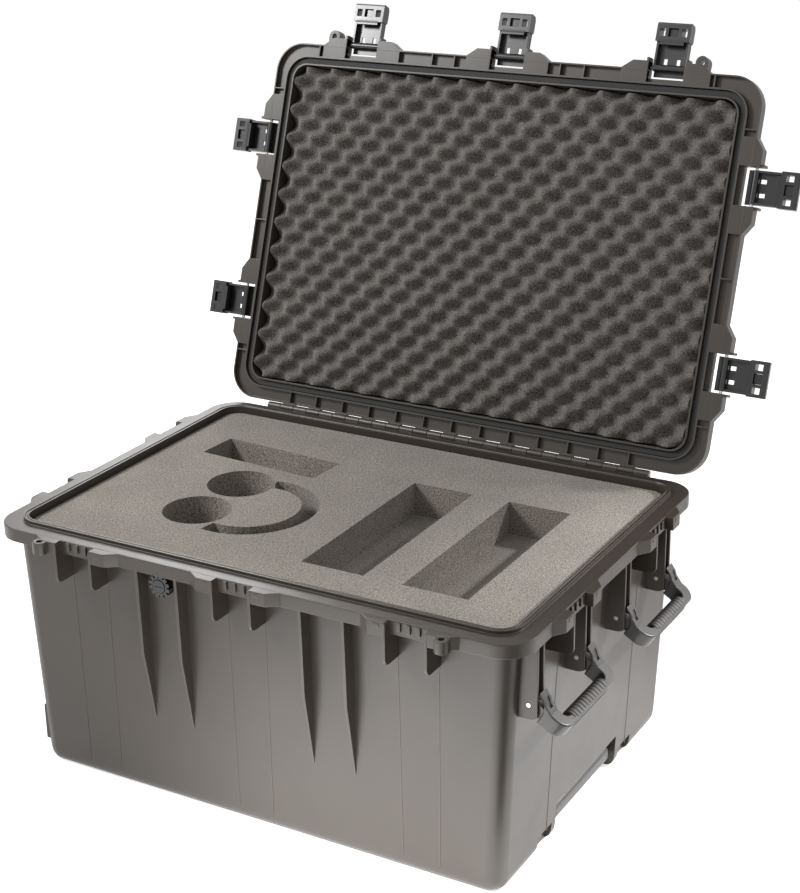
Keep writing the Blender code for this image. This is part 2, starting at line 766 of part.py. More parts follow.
def lid_rings():
    """Outlines of the lid from its inner ceiling, round the rim's grooves and up to its top."""
    ridge_x = CAVITY_X - GROOVE_PLAY - LID_RIDGE
    ridge_y = CAVITY_Y - GROOVE_PLAY - LID_RIDGE
    ceiling = LID_PLANE + LID_CAVITY_DEPTH
    groove_in_x, groove_in_y = CAVITY_X - GROOVE_PLAY, CAVITY_Y - GROOVE_PLAY
    groove_out_x = CAVITY_X + TONGUE_WIDTH + GROOVE_PLAY
    groove_out_y = CAVITY_Y + TONGUE_WIDTH + GROOVE_PLAY
    channel_x, channel_y = groove_out_x + LID_RIDGE, groove_out_y + LID_RIDGE
    lip_x, lip_y = HALF_X - CHANNEL_WALL, HALF_Y - CHANNEL_WALL
    inner_corner = CAVITY_CORNER - LID_RIDGE
    groove_corner = TONGUE_CORNER + GROOVE_PLAY
    rings = [
        (ridge_x - LID_CAVITY_DRAFT, ridge_y - LID_CAVITY_DRAFT, inner_corner, ceiling),
        (ridge_x, ridge_y, inner_corner, LID_PLANE),
        (groove_in_x, groove_in_y, CAVITY_CORNER - GROOVE_PLAY, LID_PLANE),
        (groove_in_x, groove_in_y, CAVITY_CORNER - GROOVE_PLAY, LID_PLANE + GROOVE_DEPTH),
        (groove_out_x, groove_out_y, groove_corner, LID_PLANE + GROOVE_DEPTH),
        (groove_out_x, groove_out_y, groove_corner, LID_PLANE),
        (channel_x, channel_y, groove_corner + LID_RIDGE, LID_PLANE),
        (channel_x, channel_y, groove_corner + LID_RIDGE, LID_PLANE + CHANNEL_DEPTH),
        (lip_x, lip_y, RIM_CORNER - CHANNEL_WALL, LID_PLANE + CHANNEL_DEPTH),
        (lip_x, lip_y, RIM_CORNER - CHANNEL_WALL, LID_PLANE),
        (HALF_X, HALF_Y, RIM_CORNER, LID_PLANE),
        (HALF_X, HALF_Y, RIM_CORNER, LID_PLANE + SKIRT_DROP - RIM_EDGE),
        (HALF_X - RIM_EDGE, HALF_Y - RIM_EDGE, RIM_CORNER - RIM_EDGE, LID_PLANE + SKIRT_DROP),
    ]
    wall_x, wall_y = HALF_X - LID_WALL_SET_BACK, HALF_Y - LID_WALL_SET_BACK
    rings.append((wall_x, wall_y, WALL_CORNER, LID_PLANE + SKIRT_DROP))
    top = ceiling + LID_TOP_PLATE
    head_x, head_y = wall_x - LID_DRAFT, wall_y - LID_DRAFT
    for inward, up in arc((0, 0), LID_ROUND, 0, math.pi / 2, ROUND_STEPS):
        inset = LID_ROUND - inward
        rings.append((head_x - inset, head_y - inset, WALL_CORNER - inset / 2,
                      top - LID_ROUND + up))
    panel_x, panel_y = head_x - PANEL_BORDER, head_y - PANEL_BORDER
    rings += [(panel_x, panel_y, WALL_CORNER, top),
              (panel_x - PANEL_SINK, panel_y - PANEL_SINK, WALL_CORNER - PANEL_SINK,
               top - PANEL_SINK)]
    return [(rounded_outline(x, y, radius), z) for x, y, radius, z in rings]


def channel_floor():
    """How far inside the rim's edge the lid's outer channel starts."""
    return WALL_SET_BACK + WALL - TONGUE_WIDTH - GROOVE_PLAY - LID_RIDGE


def lid_lugs():
    pieces = []
    for sign in (-1, 1):
        near, far = sorted((sign * EAR_START, sign * (EAR_START + LUG_WIDTH)))
        pieces += box((near, -LUG_REACH, LID_PLANE + WEB_THICKNESS / 2),
                      (far, channel_floor() - EMBED, LID_PLANE + SKIRT_DROP - 2 * WEB_PROUD))
    return pieces


def channel_ribs():
    """Thin ribs across the lid's outer channel, half way between the latches."""
    low, high = LID_PLANE + WEB_PROUD, LID_PLANE + CHANNEL_DEPTH + EMBED
    near, far = -CHANNEL_WALL / 2, channel_floor() - CHANNEL_WALL + EMBED
    rib = box((-CHANNEL_RIB / 2, near, low), (CHANNEL_RIB / 2, far, high))
    pieces = []
    for x in (-FRONT_STATION_PITCH / 2, FRONT_STATION_PITCH / 2):
        frame = Matrix.Translation((x, -HALF_Y, 0)) @ Matrix.Translation((0, CHANNEL_WALL, 0))
        pieces += moved(rib, frame)
    for sign in (-1, 1):
        frame = Matrix.Translation((sign * (HALF_X - CHANNEL_WALL), 0, 0))
        pieces += moved(rib, frame @ Matrix.Rotation(sign * math.pi / 2, 4, "Z"))
    for low_x, high_x in knuckle_spans(1):
        middle = (low_x + high_x) / 2
        frame = Matrix.Translation((middle, HALF_Y - CHANNEL_WALL, 0))
        pieces += moved(rib, frame @ Matrix.Rotation(math.pi, 4, "Z"))
    return pieces


def make_lid(finish, lid_frame, into_lid):
    shell = place("lid_shell", mesh_of("lid_shell", moved(loft(lid_rings()), into_lid)), finish,
                  lid_frame)
    low, high = LID_PLANE + WEB_PROUD, LID_PLANE + SKIRT_DROP - WEB_PROUD
    root = channel_floor() + EMBED
    ear_pieces, lobes, notches, lugs, holes = [], [], [], [], []
    for _, frame, _, padlock in stations():
        ear_pieces += moved(ears(root, low, high), frame)
        notches += moved(box((-NOTCH_HALF_WIDTH, -LUG_REACH - OVERRUN, LID_PLANE - OVERRUN),
                             (NOTCH_HALF_WIDTH, NOTCH_FLOOR, LID_PLANE + SKIRT_DROP + OVERRUN)),
                         frame)
        lugs += moved(lid_lugs(), frame)
        holes += moved(rod("X", (-PIVOT_OUT, LID_PLANE + PIVOT_RISE), LATCH_PIN + GAP,
                           -LATCH_PIN_END - GAP, LATCH_PIN_END + GAP), frame)
        if padlock:
            lobes += moved(padlock_lobe(padlock, root, low + WEB_PROUD, high - WEB_PROUD), frame)
            holes += moved(padlock_hole(padlock, low - OVERRUN, high + OVERRUN), frame)
    add(shell, "tool_lid_ears", moved(ear_pieces, into_lid), lid_frame)
    add(shell, "tool_lid_lobes", moved(lobes, into_lid), lid_frame)
    add(shell, "tool_lid_ribs", moved(channel_ribs(), into_lid), lid_frame)
    add(shell, "tool_lid_knuckles", moved(knuckles(1, True), into_lid), lid_frame)
    cut(shell, "tool_lid_notches", moved(notches, into_lid), lid_frame)
    add(shell, "tool_lid_lugs", moved(lugs, into_lid), lid_frame)
    cut(shell, "tool_lid_holes", moved(holes, into_lid), lid_frame)
    cut(shell, "tool_lid_bore", moved(hinge_bore(), into_lid), lid_frame)
    return shell


def gasket_pieces():
    """The rubber ring in the bottom of the lid's groove."""
    top = LID_PLANE + GROOVE_DEPTH - GAP
    low = top - GASKET_HEIGHT
    inset = GROOVE_PLAY - GAP
    inner = (CAVITY_X - inset, CAVITY_Y - inset, CAVITY_CORNER - inset)
    outer = (CAVITY_X + TONGUE_WIDTH + inset, CAVITY_Y + TONGUE_WIDTH + inset,
             TONGUE_CORNER + inset)
    rings = [(inner, low), (outer, low), (outer, top), (inner, top)]
    outlines = [[(x, y, z) for x, y in rounded_outline(*size)] for size, z in rings]
    count = len(outlines[0])
    points = [point for outline in outlines for point in outline]
    faces = []
    for ring in range(4):
        near, far = ring * count, (ring + 1) % 4 * count
        for i in range(count):
            j = (i + 1) % count
            faces.append((near + i, near + j, far + j, far + i))
    return [(points, faces)]


def inside_corner(x, y, half_x, half_y, radius):
    """Pulls a point that lies outside a rounded corner back onto its arc."""
    over = Vector((max(abs(x) - half_x + radius, 0), max(abs(y) - half_y + radius, 0)))
    if over.length <= radius:
        return x, y
    over = over.normalized() * radius
    return (math.copysign(half_x - radius + over.x, x), math.copysign(half_y - radius + over.y, y))


def egg_crate_pieces():
    """Convoluted foam: a flat back and a face of staggered peaks and hollows."""
    half_x = CAVITY_X - GROOVE_PLAY - LID_RIDGE - LID_CAVITY_DRAFT - FOAM_PLAY
    half_y = CAVITY_Y - GROOVE_PLAY - LID_RIDGE - LID_CAVITY_DRAFT - FOAM_PLAY
    back = LID_PLANE + LID_CAVITY_DEPTH - GAP
    hollow, peak = back - LID_FOAM_BACK, LID_PLANE - LID_FOAM_PROUD
    corner = 2 * min(half_x / EGG_COLUMNS, half_y / EGG_ROWS)
    points, faces = [], []
    for row in range(EGG_ROWS + 1):
        for column in range(EGG_COLUMNS + 1):
            x = -half_x + 2 * half_x * column / EGG_COLUMNS
            y = -half_y + 2 * half_y * row / EGG_ROWS
            x, y = inside_corner(x, y, half_x, half_y, corner)
            points.append((x, y, peak if (row + column) % 2 else hollow))
    width = EGG_COLUMNS + 1
    for row in range(EGG_ROWS):
        for column in range(EGG_COLUMNS):
            a = row * width + column
            b, c, d = a + 1, a + width + 1, a + width
            if (row + column) % 2:
                faces += [(a, b, c), (a, c, d)]
            else:
                faces += [(a, b, d), (b, c, d)]
    edge = list(range(width))
    edge += [row * width + EGG_COLUMNS for row in range(1, EGG_ROWS + 1)]
    edge += [EGG_ROWS * width + column for column in range(EGG_COLUMNS - 1, -1, -1)]
    edge += [row * width for row in range(EGG_ROWS - 1, 0, -1)]
    return [(points, faces + foam_sides(points, edge, back))]


def foam_sides(points, edge, back):
    """Flat sides and back. The back has a point beside and at each of the four corners."""
    corners = (0, EGG_COLUMNS, EGG_COLUMNS + EGG_ROWS, 2 * EGG_COLUMNS + EGG_ROWS)
    kept = [(corner + beside) % len(edge) for corner in corners for beside in (-1, 0, 1)]
    start = len(points)
    points += [(points[edge[i]][0], points[edge[i]][1], back) for i in kept]
    faces = [tuple(range(start, start + len(kept)))]
    for k, i in enumerate(kept):
        following = (k + 1) % len(kept)
        run = (kept[following] - i) % len(edge)
        rim = [edge[(i + step) % len(edge)] for step in range(run + 1)]
        faces.append(tuple(rim + [start + following, start + k]))
    return faces


# Latches. In a latch's own frame the pivot is the origin, X runs along it, -Y points away from
# the case when the latch is shut, and the lever hangs down -Z.

def latch_body_pieces():
    half = LATCH_WIDTH / 2
    plate = prism(rounded_outline(half, (LATCH_REACH + LATCH_TAIL) / 2, RAIL_WIDTH / 2, 1), "Z",
                  0, PLATE_THICKNESS)
    middle = (LATCH_TAIL - LATCH_REACH) / 2
    stand = Matrix.Translation((0, -PLATE_OUT - PLATE_THICKNESS, middle))
    stand = stand @ Matrix.Rotation(math.pi / 2, 4, "X") @ Matrix.Scale(-1, 4, (0, 0, 1))
    return moved(plate, stand)


def latch_rails():
    pieces = []
    for sign in (-1, 1):
        near, far = sorted((sign * (LATCH_WIDTH / 2 - GAP), sign * (LATCH_WIDTH / 2 - RAIL_WIDTH)))
        pieces += box((near, -PLATE_OUT - PLATE_THICKNESS / 2, -CAP_START - EMBED),
                      (far, RAIL_IN, -BARREL_RADIUS / 2))
    return pieces


def latch_barrel():
    """The round sleeve on the pivot pin, with a foot that joins it to the plate."""
    half = LATCH_WIDTH / 2 - 2 * GAP
    outline = [(-PLATE_OUT - EMBED, BARREL_RADIUS)]
    outline += [(0, BARREL_RADIUS)]
    outline += arc((0, 0), BARREL_RADIUS, math.pi / 2, -math.pi / 2, 2 * ROUND_STEPS)[1:]
    outline += [(-PLATE_OUT - EMBED, -BARREL_RADIUS)]
    return prism(outline, "X", -half, half)


def latch_cap():
    """The thick end block: bulged outer edge, sloped shoulder and the hook that catches."""
    top, low = -CAP_START, -LATCH_REACH
    outline = [(CAP_IN, low), (CAP_IN, top), (-PLATE_OUT, top),
               (-CAP_OUT + PLATE_THICKNESS / 3, top), (-CAP_OUT, top - CAP_SLOPE),
               (-CAP_OUT, low + CAP_SLOPE), (-CAP_OUT + PLATE_THICKNESS, low - CAP_BULGE / 2),
               (CAP_IN - PLATE_THICKNESS, low - CAP_BULGE)]
    return prism(outline, "X", -CAP_WIDTH / 2, CAP_WIDTH / 2)


def hook_top():
    """Height of the hook's catching face above or below the latch pivot."""
    return -(PIVOT_RISE + LID_GAP + SKIRT_DROP + HOOK_PLAY)


def latch_hook():
    top = hook_top()
    outline = [(HOOK_LIP, top), (HOOK_LIP, top - HOOK_THICKNESS), (CAP_IN, -CAP_START - EMBED),
               (PLATE_THICKNESS, -CAP_START - EMBED), (PLATE_THICKNESS, top)]
    return prism(outline, "X", -HOOK_WIDTH / 2, HOOK_WIDTH / 2)


def latch_windows():
    pieces = []
    through = (-CAP_OUT - OVERRUN, HOOK_LIP + OVERRUN)
    for sign in (-1, 1):
        x = sign * SMALL_WINDOW_OFFSET
        pieces += box((x - SMALL_WINDOW_WIDTH / 2, through[0],
                       -SMALL_WINDOW_START - SMALL_WINDOW_LENGTH),
                      (x + SMALL_WINDOW_WIDTH / 2, -PLATE_OUT + OVERRUN, -SMALL_WINDOW_START))
        x = sign * LARGE_WINDOW_OFFSET
        middle = cap_middle()
        pieces += box((x - LARGE_WINDOW_WIDTH / 2, through[0], middle - LARGE_WINDOW_LENGTH / 2),
                      (x + LARGE_WINDOW_WIDTH / 2, through[1], middle + LARGE_WINDOW_LENGTH / 2))
    middle = cap_middle()
    pieces += box((-BUTTON_WIDTH / 2 - GAP, through[0], middle - BUTTON_LENGTH / 2 - GAP),
                  (BUTTON_WIDTH / 2 + GAP, through[1], middle + BUTTON_LENGTH / 2 + GAP))
    return pieces


def cap_middle():
    return -(CAP_START + LATCH_REACH) / 2 - EMBED / 2


def latch_button_pieces():
    middle = cap_middle()
    return box((-BUTTON_WIDTH / 2, -CAP_OUT - BUTTON_PROUD, middle - BUTTON_LENGTH / 2),
               (BUTTON_WIDTH / 2, CAP_IN - BUTTON_SET_IN - BUTTON_PROUD, middle + BUTTON_LENGTH / 2))


def make_latches(finishes, lid_frame, into_lid):
    for name, frame, _, _ in stations():
        pivot = frame @ Vector((0, -PIVOT_OUT, LID_PLANE + PIVOT_RISE))
        heading = math.atan2(frame[1][0], frame[0][0])
        stand = empty(f"stand_{name}", into_lid @ pivot, (0, 0, heading), lid_frame)
        pin = rod("X", (0, 0), LATCH_PIN, -LATCH_PIN_END, LATCH_PIN_END)
        place(f"latch_pin_{name}", mesh_of("latch_pin", pin), finishes["steel"], stand)
        body = place(f"latch_body_{name}", mesh_of("latch_body", latch_body_pieces()),
                     finishes["latch"], stand, rotation=(-LATCH_OPEN, 0, 0))
        add(body, f"tool_rails_{name}", latch_rails(), body)
        add(body, f"tool_barrel_{name}", latch_barrel(), body)
        add(body, f"tool_cap_{name}", latch_cap(), body)
        add(body, f"tool_hook_{name}", latch_hook(), body)
        cut(body, f"tool_windows_{name}", latch_windows(), body)
        reach = LATCH_WIDTH / 2 + OVERRUN
        cut(body, f"tool_bore_{name}", rod("X", (0, 0), LATCH_PIN + GAP, -reach, reach), body)
        place(f"latch_button_{name}", mesh_of("latch_button", latch_button_pieces()),
              finishes["button"], body)


# Carry handles. In a handle's own frame Y runs along the pivot axis, the arms hang down -Z and
# +X points away from the case.

def handle_outline():
    """The U of arms and cross bar, seen from outside, from the left arm's top."""
    half = HANDLE_WIDTH / 2
    top, low = -BRACKET_ROUND - HANDLE_BEVEL, -ARM_REACH
    inner, bar = half - BRACKET_WIDTH, -GRIP_CORE
    outer_left = arc((-half + HANDLE_CORNER, low + HANDLE_CORNER), HANDLE_CORNER,
                     math.pi, 1.5 * math.pi, ROUND_STEPS)
    outer_right = arc((half - HANDLE_CORNER, low + HANDLE_CORNER), HANDLE_CORNER,
                      1.5 * math.pi, math.tau, ROUND_STEPS)
    inner_right = arc((inner - HANDLE_INNER_CORNER, bar + HANDLE_INNER_CORNER),
                      HANDLE_INNER_CORNER, 0, -math.pi / 2, ROUND_STEPS)
    inner_left = arc((-inner + HANDLE_INNER_CORNER, bar + HANDLE_INNER_CORNER),
                     HANDLE_INNER_CORNER, 1.5 * math.pi, math.pi, ROUND_STEPS)
    return ([(-half, top)] + outer_left + outer_right + [(half, top), (inner, top)]
            + inner_right + inner_left + [(-inner, top)])


def handle_tangs():
    """Narrow ends of the arms that sit between the bracket's walls on the pin."""
    half = TANG_DEPTH / 2
    low = -BRACKET_ROUND - EMBED - 2 * HANDLE_BEVEL
    outline = [(half, low)]
    outline += arc((0, 0), half, 0, math.pi, 2 * ROUND_STEPS)
    outline += [(-half, low)]
    pieces = []
    for middle in bracket_middles(0):
        pieces += prism(outline, "Y", middle - TANG_THICKNESS / 2, middle + TANG_THICKNESS / 2)
    return pieces


def arm_tips():
    """Heads of the arms, hollowed round the bracket's end, with a tip that reaches up in front."""
    half = ARM_DEPTH / 2
    inner = BRACKET_ROUND + 2 * GAP
    low = -BRACKET_ROUND - 3 * HANDLE_BEVEL
    outline = [(-half, -inner)] + arc((0, 0), inner, -math.pi / 2, ARM_TIP_INNER_ANGLE,
                                      2 * ROUND_STEPS)
    outline += [(ARM_TIP_OUT * math.cos(ARM_TIP_ANGLE), ARM_TIP_OUT * math.sin(ARM_TIP_ANGLE)),
                (ARM_TIP_BACK * math.cos(ARM_TIP_BEND_ANGLE),
                 ARM_TIP_BACK * math.sin(ARM_TIP_BEND_ANGLE)),
                (half, low), (-half, low)]
    pieces = []
    for middle in bracket_middles(0):
        pieces += prism(outline, "Y", middle - BRACKET_WIDTH / 2, middle + BRACKET_WIDTH / 2)
    return pieces


def handle_cuts():
    """A slanting recess in the front of each arm's head, and the pin holes."""
    pieces = []
    lean = Matrix.Rotation(RECESS_TURN, 4, "Y")
    for middle in bracket_middles(0):
        recess = box((-RECESS_DEPTH, -RECESS_WIDTH / 2, -RECESS_LENGTH / 2),
                     (RECESS_DEPTH, RECESS_WIDTH / 2, RECESS_LENGTH / 2))
        angle = (ARM_TIP_ANGLE + 2 * ARM_TIP_BEND_ANGLE) / 2
        spot = ((RECESS_MIDDLE + RECESS_DEPTH) * math.cos(angle), middle,
                (RECESS_MIDDLE + RECESS_DEPTH) * math.sin(angle))
        pieces += moved(recess, Matrix.Translation(spot) @ lean)
        reach = TANG_THICKNESS / 2 + OVERRUN
        pieces += rod("Y", (0, 0), HANDLE_PIN + GAP, middle - reach, middle + reach)
    return pieces


def grip_pieces():
    """Half-round soft grip on the inner side of the cross bar, grooved across its length."""
    base = -GRIP_CORE + GAP
    flat, round_part = GRIP_HEIGHT / 3, GRIP_HEIGHT * 2 / 3
    rings = []
    for k in range(2 * GRIP_RIBS + 1):
        y = GRIP_LENGTH * (k / (2 * GRIP_RIBS) - 1 / 2)
        sink = 0 if k % 2 else GRIP_GROOVE_DEPTH
        half = GRIP_DEPTH / 2 - sink
        ring = [(half, y, base)]
        for across, up in arc((0, 0), 1, 0, math.pi, GRIP_STEPS):
            ring.append((across * half, y, base + flat + up * (round_part - sink)))
        ring.append((-half, y, base))
        rings.append(ring)
    count = len(rings[0])
    points = [point for ring in rings for point in ring]
    faces = [tuple(range(count)), tuple(range((len(rings) - 1) * count, len(rings) * count))]
    for level in range(len(rings) - 1):
        for i in range(count):
            j = (i + 1) % count
            low, high = level * count, (level + 1) * count
            faces.append((low + i, low + j, high + j, high + i))
    return [(points, faces)]


def bevelled(target, width):
    rounded = target.modifiers.new("edges", "BEVEL")
    rounded.width = width
    rounded.segments = 1
    rounded.limit_method = "ANGLE"
    rounded.angle_limit = math.radians(40)


def make_handles(finishes):
    for name, pivot, sign in handle_frames():
        turn = 0 if sign > 0 else math.pi
        stand = empty(f"pivot_{name}", pivot, (0, 0, turn))
        body = place(f"carry_handle_{name}",
                     mesh_of("carry_handle", prism([(y, z) for y, z in handle_outline()], "X",
                                                   -ARM_DEPTH / 2, ARM_DEPTH / 2)),
                     finishes["handle"], stand,
                     rotation=(0, -HANDLE_ANGLE if sign > 0 else 0, 0))
        bevelled(body, HANDLE_BEVEL)
        add(body, f"tool_tips_{name}", arm_tips(), body)
        add(body, f"tool_tangs_{name}", handle_tangs(), body)
        cut(body, f"tool_handle_cuts_{name}", handle_cuts(), body)
        place(f"handle_grip_{name}", mesh_of("handle_grip", grip_pieces()), finishes["grip"], body)
        for end, middle in zip(("a", "b"), bracket_middles(0)):
            reach = BRACKET_WIDTH / 2 + PIN_PROUD
            place(f"handle_pin_{name}_{end}",
                  mesh_of("handle_pin", rod("Y", (0, 0), HANDLE_PIN, middle - reach,
                                            middle + reach)),
                  finishes["steel"], stand)


# Hinge rod, valve, pull handle and wheels

def make_hinge_rod(finish):
    reach = HINGE_LENGTH / 2
    place("hinge_rod", mesh_of("hinge_rod", rod("X", (0, 0), HINGE_ROD, -reach, reach)), finish,
          location=(0, HINGE_Y, HINGE_Z))


def valve_outline():
    """A round disc with square notches round its edge."""
    outline = []
    notch = VALVE_NOTCH_WIDTH / 2 / VALVE_RADIUS
    for k in range(VALVE_NOTCHES):
        middle = math.tau * k / VALVE_NOTCHES
        after = middle + math.tau / VALVE_NOTCHES - notch
        for angle, radius in ((middle - notch, VALVE_RADIUS - VALVE_NOTCH_DEPTH),
                              (middle + notch, VALVE_RADIUS - VALVE_NOTCH_DEPTH),
                              (middle + notch, VALVE_RADIUS), (after, VALVE_RADIUS)):
            outline.append((radius * math.cos(angle), radius * math.sin(angle)))
    return outline


def make_valve(finishes):
    centre = (VALVE_X, -wall_size(RIM_HEIGHT - VALVE_DROP)[1], RIM_HEIGHT - VALVE_DROP)
    body = place("valve_housing",
                 mesh_of("valve_housing", prism(valve_outline(), "Y", -VALVE_OUT, -GAP)),
                 finishes["latch"], location=centre)
    add(body, "tool_valve_stem", rod("Y", (0, 0), VALVE_STEM, -GAP - EMBED, WALL / 2, 16), body)
    cut(body, "tool_valve_seat",
        rod("Y", (0, 0), VALVE_CAP + GAP, -VALVE_OUT - OVERRUN, -VALVE_OUT + VALVE_CAP_DEPTH, 16),
        body)
    place("valve_vent_cap",
          mesh_of("valve_vent_cap", rod("Y", (0, 0), VALVE_CAP, -VALVE_OUT - VALVE_CAP_PROUD,
                                        -VALVE_OUT + VALVE_CAP_DEPTH - GAP, 16)),
          finishes["button"], location=centre)


def make_pull_handle(finishes):
    back = pull_bar_back()
    low = PULL_BAR_UNDER
    middle = (back + PULL_BAR_DEPTH / 2, 0, low + PULL_BAR_HEIGHT / 2)
    half = (PULL_BAR_DEPTH / 2, PULL_BAR_LENGTH / 2, PULL_BAR_HEIGHT / 2)
    bar = box(tuple(-size for size in half), half)
    grip = place("pull_handle_bar", mesh_of("pull_handle_bar", bar), finishes["handle"],
                 location=middle)
    bevelled(grip, PULL_BAR_BEVEL)
    tube_z = UNDER_RECESS - GAP - SLEEVE_WALL - TUBE_PLAY - PULL_TUBE
    for side, sign in (("front", -1), ("back", 1)):
        y = sign * PULL_TUBE_PITCH / 2
        place(f"pull_tube_{side}",
              mesh_of("pull_tube", rod("X", (0, 0), PULL_TUBE, -PULL_TUBE_LENGTH, 0, 16)),
              finishes["tube"], location=(back - GAP, y, tube_z))
        outer = PULL_TUBE + TUBE_PLAY + SLEEVE_WALL
        sleeve = place(f"tube_sleeve_{side}",
                       mesh_of("tube_sleeve", rod("X", (0, 0), outer, -SLEEVE_LENGTH, 0, 16)),
                       finishes["latch"], location=(back - SLEEVE_SET_BACK, y, tube_z))
        cut(sleeve, f"tool_sleeve_bore_{side}",
            rod("X", (0, 0), PULL_TUBE + TUBE_PLAY, -SLEEVE_LENGTH - OVERRUN, OVERRUN, 16), sleeve)


def make_wheels(finishes):
    half = WHEEL_WIDTH / 2
    for side, end in (("front", -1), ("back", 1)):
        centre = wheel_centre(end)
        rim = HUB_RADIUS + GAP
        tyre = [(rim, -half), (WHEEL_RADIUS - TYRE_SHOULDER, -half),
                (WHEEL_RADIUS - TYRE_SHOULDER / 4, -half + TYRE_SHOULDER), (WHEEL_RADIUS, 0),
                (WHEEL_RADIUS - TYRE_SHOULDER / 4, half - TYRE_SHOULDER),
                (WHEEL_RADIUS - TYRE_SHOULDER, half), (rim, half)]
        place(f"wheel_tyre_{side}", mesh_of("wheel_tyre", turned(tyre, WHEEL_SIDES)),
              finishes["tyre"], location=centre)
        bore, reach = AXLE + GAP, half + WELL_SIDE - HUB_SIDE_PLAY
        boss = (bore + HUB_RADIUS) / 2
        hub = [(bore, -reach), (boss, -reach), (boss, -half), (HUB_RADIUS, -half),
               (HUB_RADIUS, half), (boss, half), (boss, reach), (bore, reach)]
        place(f"wheel_hub_{side}", mesh_of("wheel_hub", turned(hub, WHEEL_SIDES)),
              finishes["latch"], location=centre)
        low, high = axle_span(end)
        place(f"wheel_axle_{side}",
              mesh_of("wheel_axle", rod("Y", (0, 0), AXLE, low - centre[1], high - centre[1])),
              finishes["steel"], location=centre)


# Foam in the tub: a bottom pad cut round the housings, a plain middle block and a top layer
# with the pockets.

def foam_size(z):
    share = (z - FLOOR_TOP) / (RIM_HEIGHT - FLOOR_TOP)
    low_x, low_y = wall_size(FLOOR_TOP)
    thin = WALL - 2 * FRONT_DRAFT
    half_x = (low_x - thin) * (1 - share) + CAVITY_X * share
    half_y = (low_y - thin) * (1 - share) + CAVITY_Y * share
    return half_x - FOAM_PLAY, half_y - FOAM_PLAY


def foam_block(low, high):
    corner = CAVITY_CORNER + FOAM_PLAY
    return loft([(rounded_outline(*foam_size(low), corner, ROUND_STEPS - 1), low),
                 (rounded_outline(*foam_size(high), corner, ROUND_STEPS - 1), high)])


def band_outline():
    inner, outer = BAND_RADIUS - BAND_WIDTH / 2, BAND_RADIUS + BAND_WIDTH / 2
    return (arc((BAND_X, BAND_Y), outer, BAND_FROM, BAND_TO, 3 * ROUND_STEPS)
            + arc((BAND_X, BAND_Y), inner, BAND_TO, BAND_FROM, 3 * ROUND_STEPS))


def make_foam(finishes):
    pad_top = wheel_well(1)[1][2] + HOUSING_WALL + BOTTOM_PAD_OVER
    top = RIM_HEIGHT - FOAM_SINK
    split = top - TOP_LAYER
    pad = place("foam_bottom_pad", mesh_of("foam_bottom_pad",
                                           foam_block(FLOOR_TOP + LAYER_GAP, pad_top)),
                finishes["foam"])
    play = HOUSING_WALL + FOAM_PLAY
    low, high = pull_recess()
    pieces = box((low[0] - play, low[1] - play, -OVERRUN),
                 (high[0] + OVERRUN, high[1] + play, high[2] + play))
    for end in (-1, 1):
        low, high = wheel_well(end)
        outer_y = end * (CAVITY_Y + WALL)
        inner_y = low[1] - play if end > 0 else high[1] + play
        pieces += box((-WALL_TOP_X, min(outer_y, inner_y), -OVERRUN),
                      (high[0] + play, max(outer_y, inner_y), pad_top + OVERRUN))
    cut(pad, "tool_pad_notches", pieces)
    place("foam_middle_block", mesh_of("foam_middle_block",
                                       foam_block(pad_top + LAYER_GAP, split - LAYER_GAP)),
          finishes["foam"])
    layer = place("foam_top_layer", mesh_of("foam_top_layer", foam_block(split, top)),
                  finishes["foam"])
    above = top + OVERRUN
    half_l, half_w = BAY_LENGTH / 2, BAY_WIDTH / 2
    pieces = []
    for x in (BAY_A_X, BAY_B_X):
        pieces += box((x - half_w, BAY_Y - half_l, top - POCKET_DEPTH),
                      (x + half_w, BAY_Y + half_l, above))
    turn = Matrix.Translation((SLIM_BAY_X, SLIM_BAY_Y, 0)) @ Matrix.Rotation(SLIM_BAY_TURN, 4, "Z")
    pieces += moved(box((-SLIM_BAY_LENGTH / 2, -SLIM_BAY_WIDTH / 2, top - SLIM_BAY_DEPTH),
                        (SLIM_BAY_LENGTH / 2, SLIM_BAY_WIDTH / 2, above)), turn)
    cut(layer, "tool_bays", pieces)
    for name, y in (("front", CUP_FRONT_Y), ("back", CUP_BACK_Y)):
        cut(layer, f"tool_cup_{name}",
            rod("Z", (CUP_X, y), CUP_RADIUS, top - POCKET_DEPTH, above, 20))
    cut(layer, "tool_band", prism(band_outline(), "Z", top - SLIM_BAY_DEPTH, above))


def build():
    for old in list(bpy.data.objects):
        bpy.data.objects.remove(old, do_unlink=True)
    finishes = make_materials()
    make_tub(finishes["shell"])
    make_foam(finishes)
    lid_frame = empty("lid_hinge_frame", (0, HINGE_Y, HINGE_Z), (-LID_OPEN, 0, 0))
    into_lid = Matrix.Translation((0, -HINGE_Y, -HINGE_Z))
    make_lid(finishes["shell"], lid_frame, into_lid)
    place("lid_gasket", mesh_of("lid_gasket", moved(gasket_pieces(), into_lid)),
          finishes["gasket"], lid_frame)
    place("lid_foam", mesh_of("lid_foam", moved(egg_crate_pieces(), into_lid)),
          finishes["lid_foam"], lid_frame)
    make_latches(finishes, lid_frame, into_lid)
    make_handles(finishes)
    make_hinge_rod(finishes["steel"])
    make_valve(finishes)
    make_pull_handle(finishes)
    make_wheels(finishes)


build()
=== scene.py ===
import math

import bmesh
import bpy
import numpy as np
from mathutils import Matrix


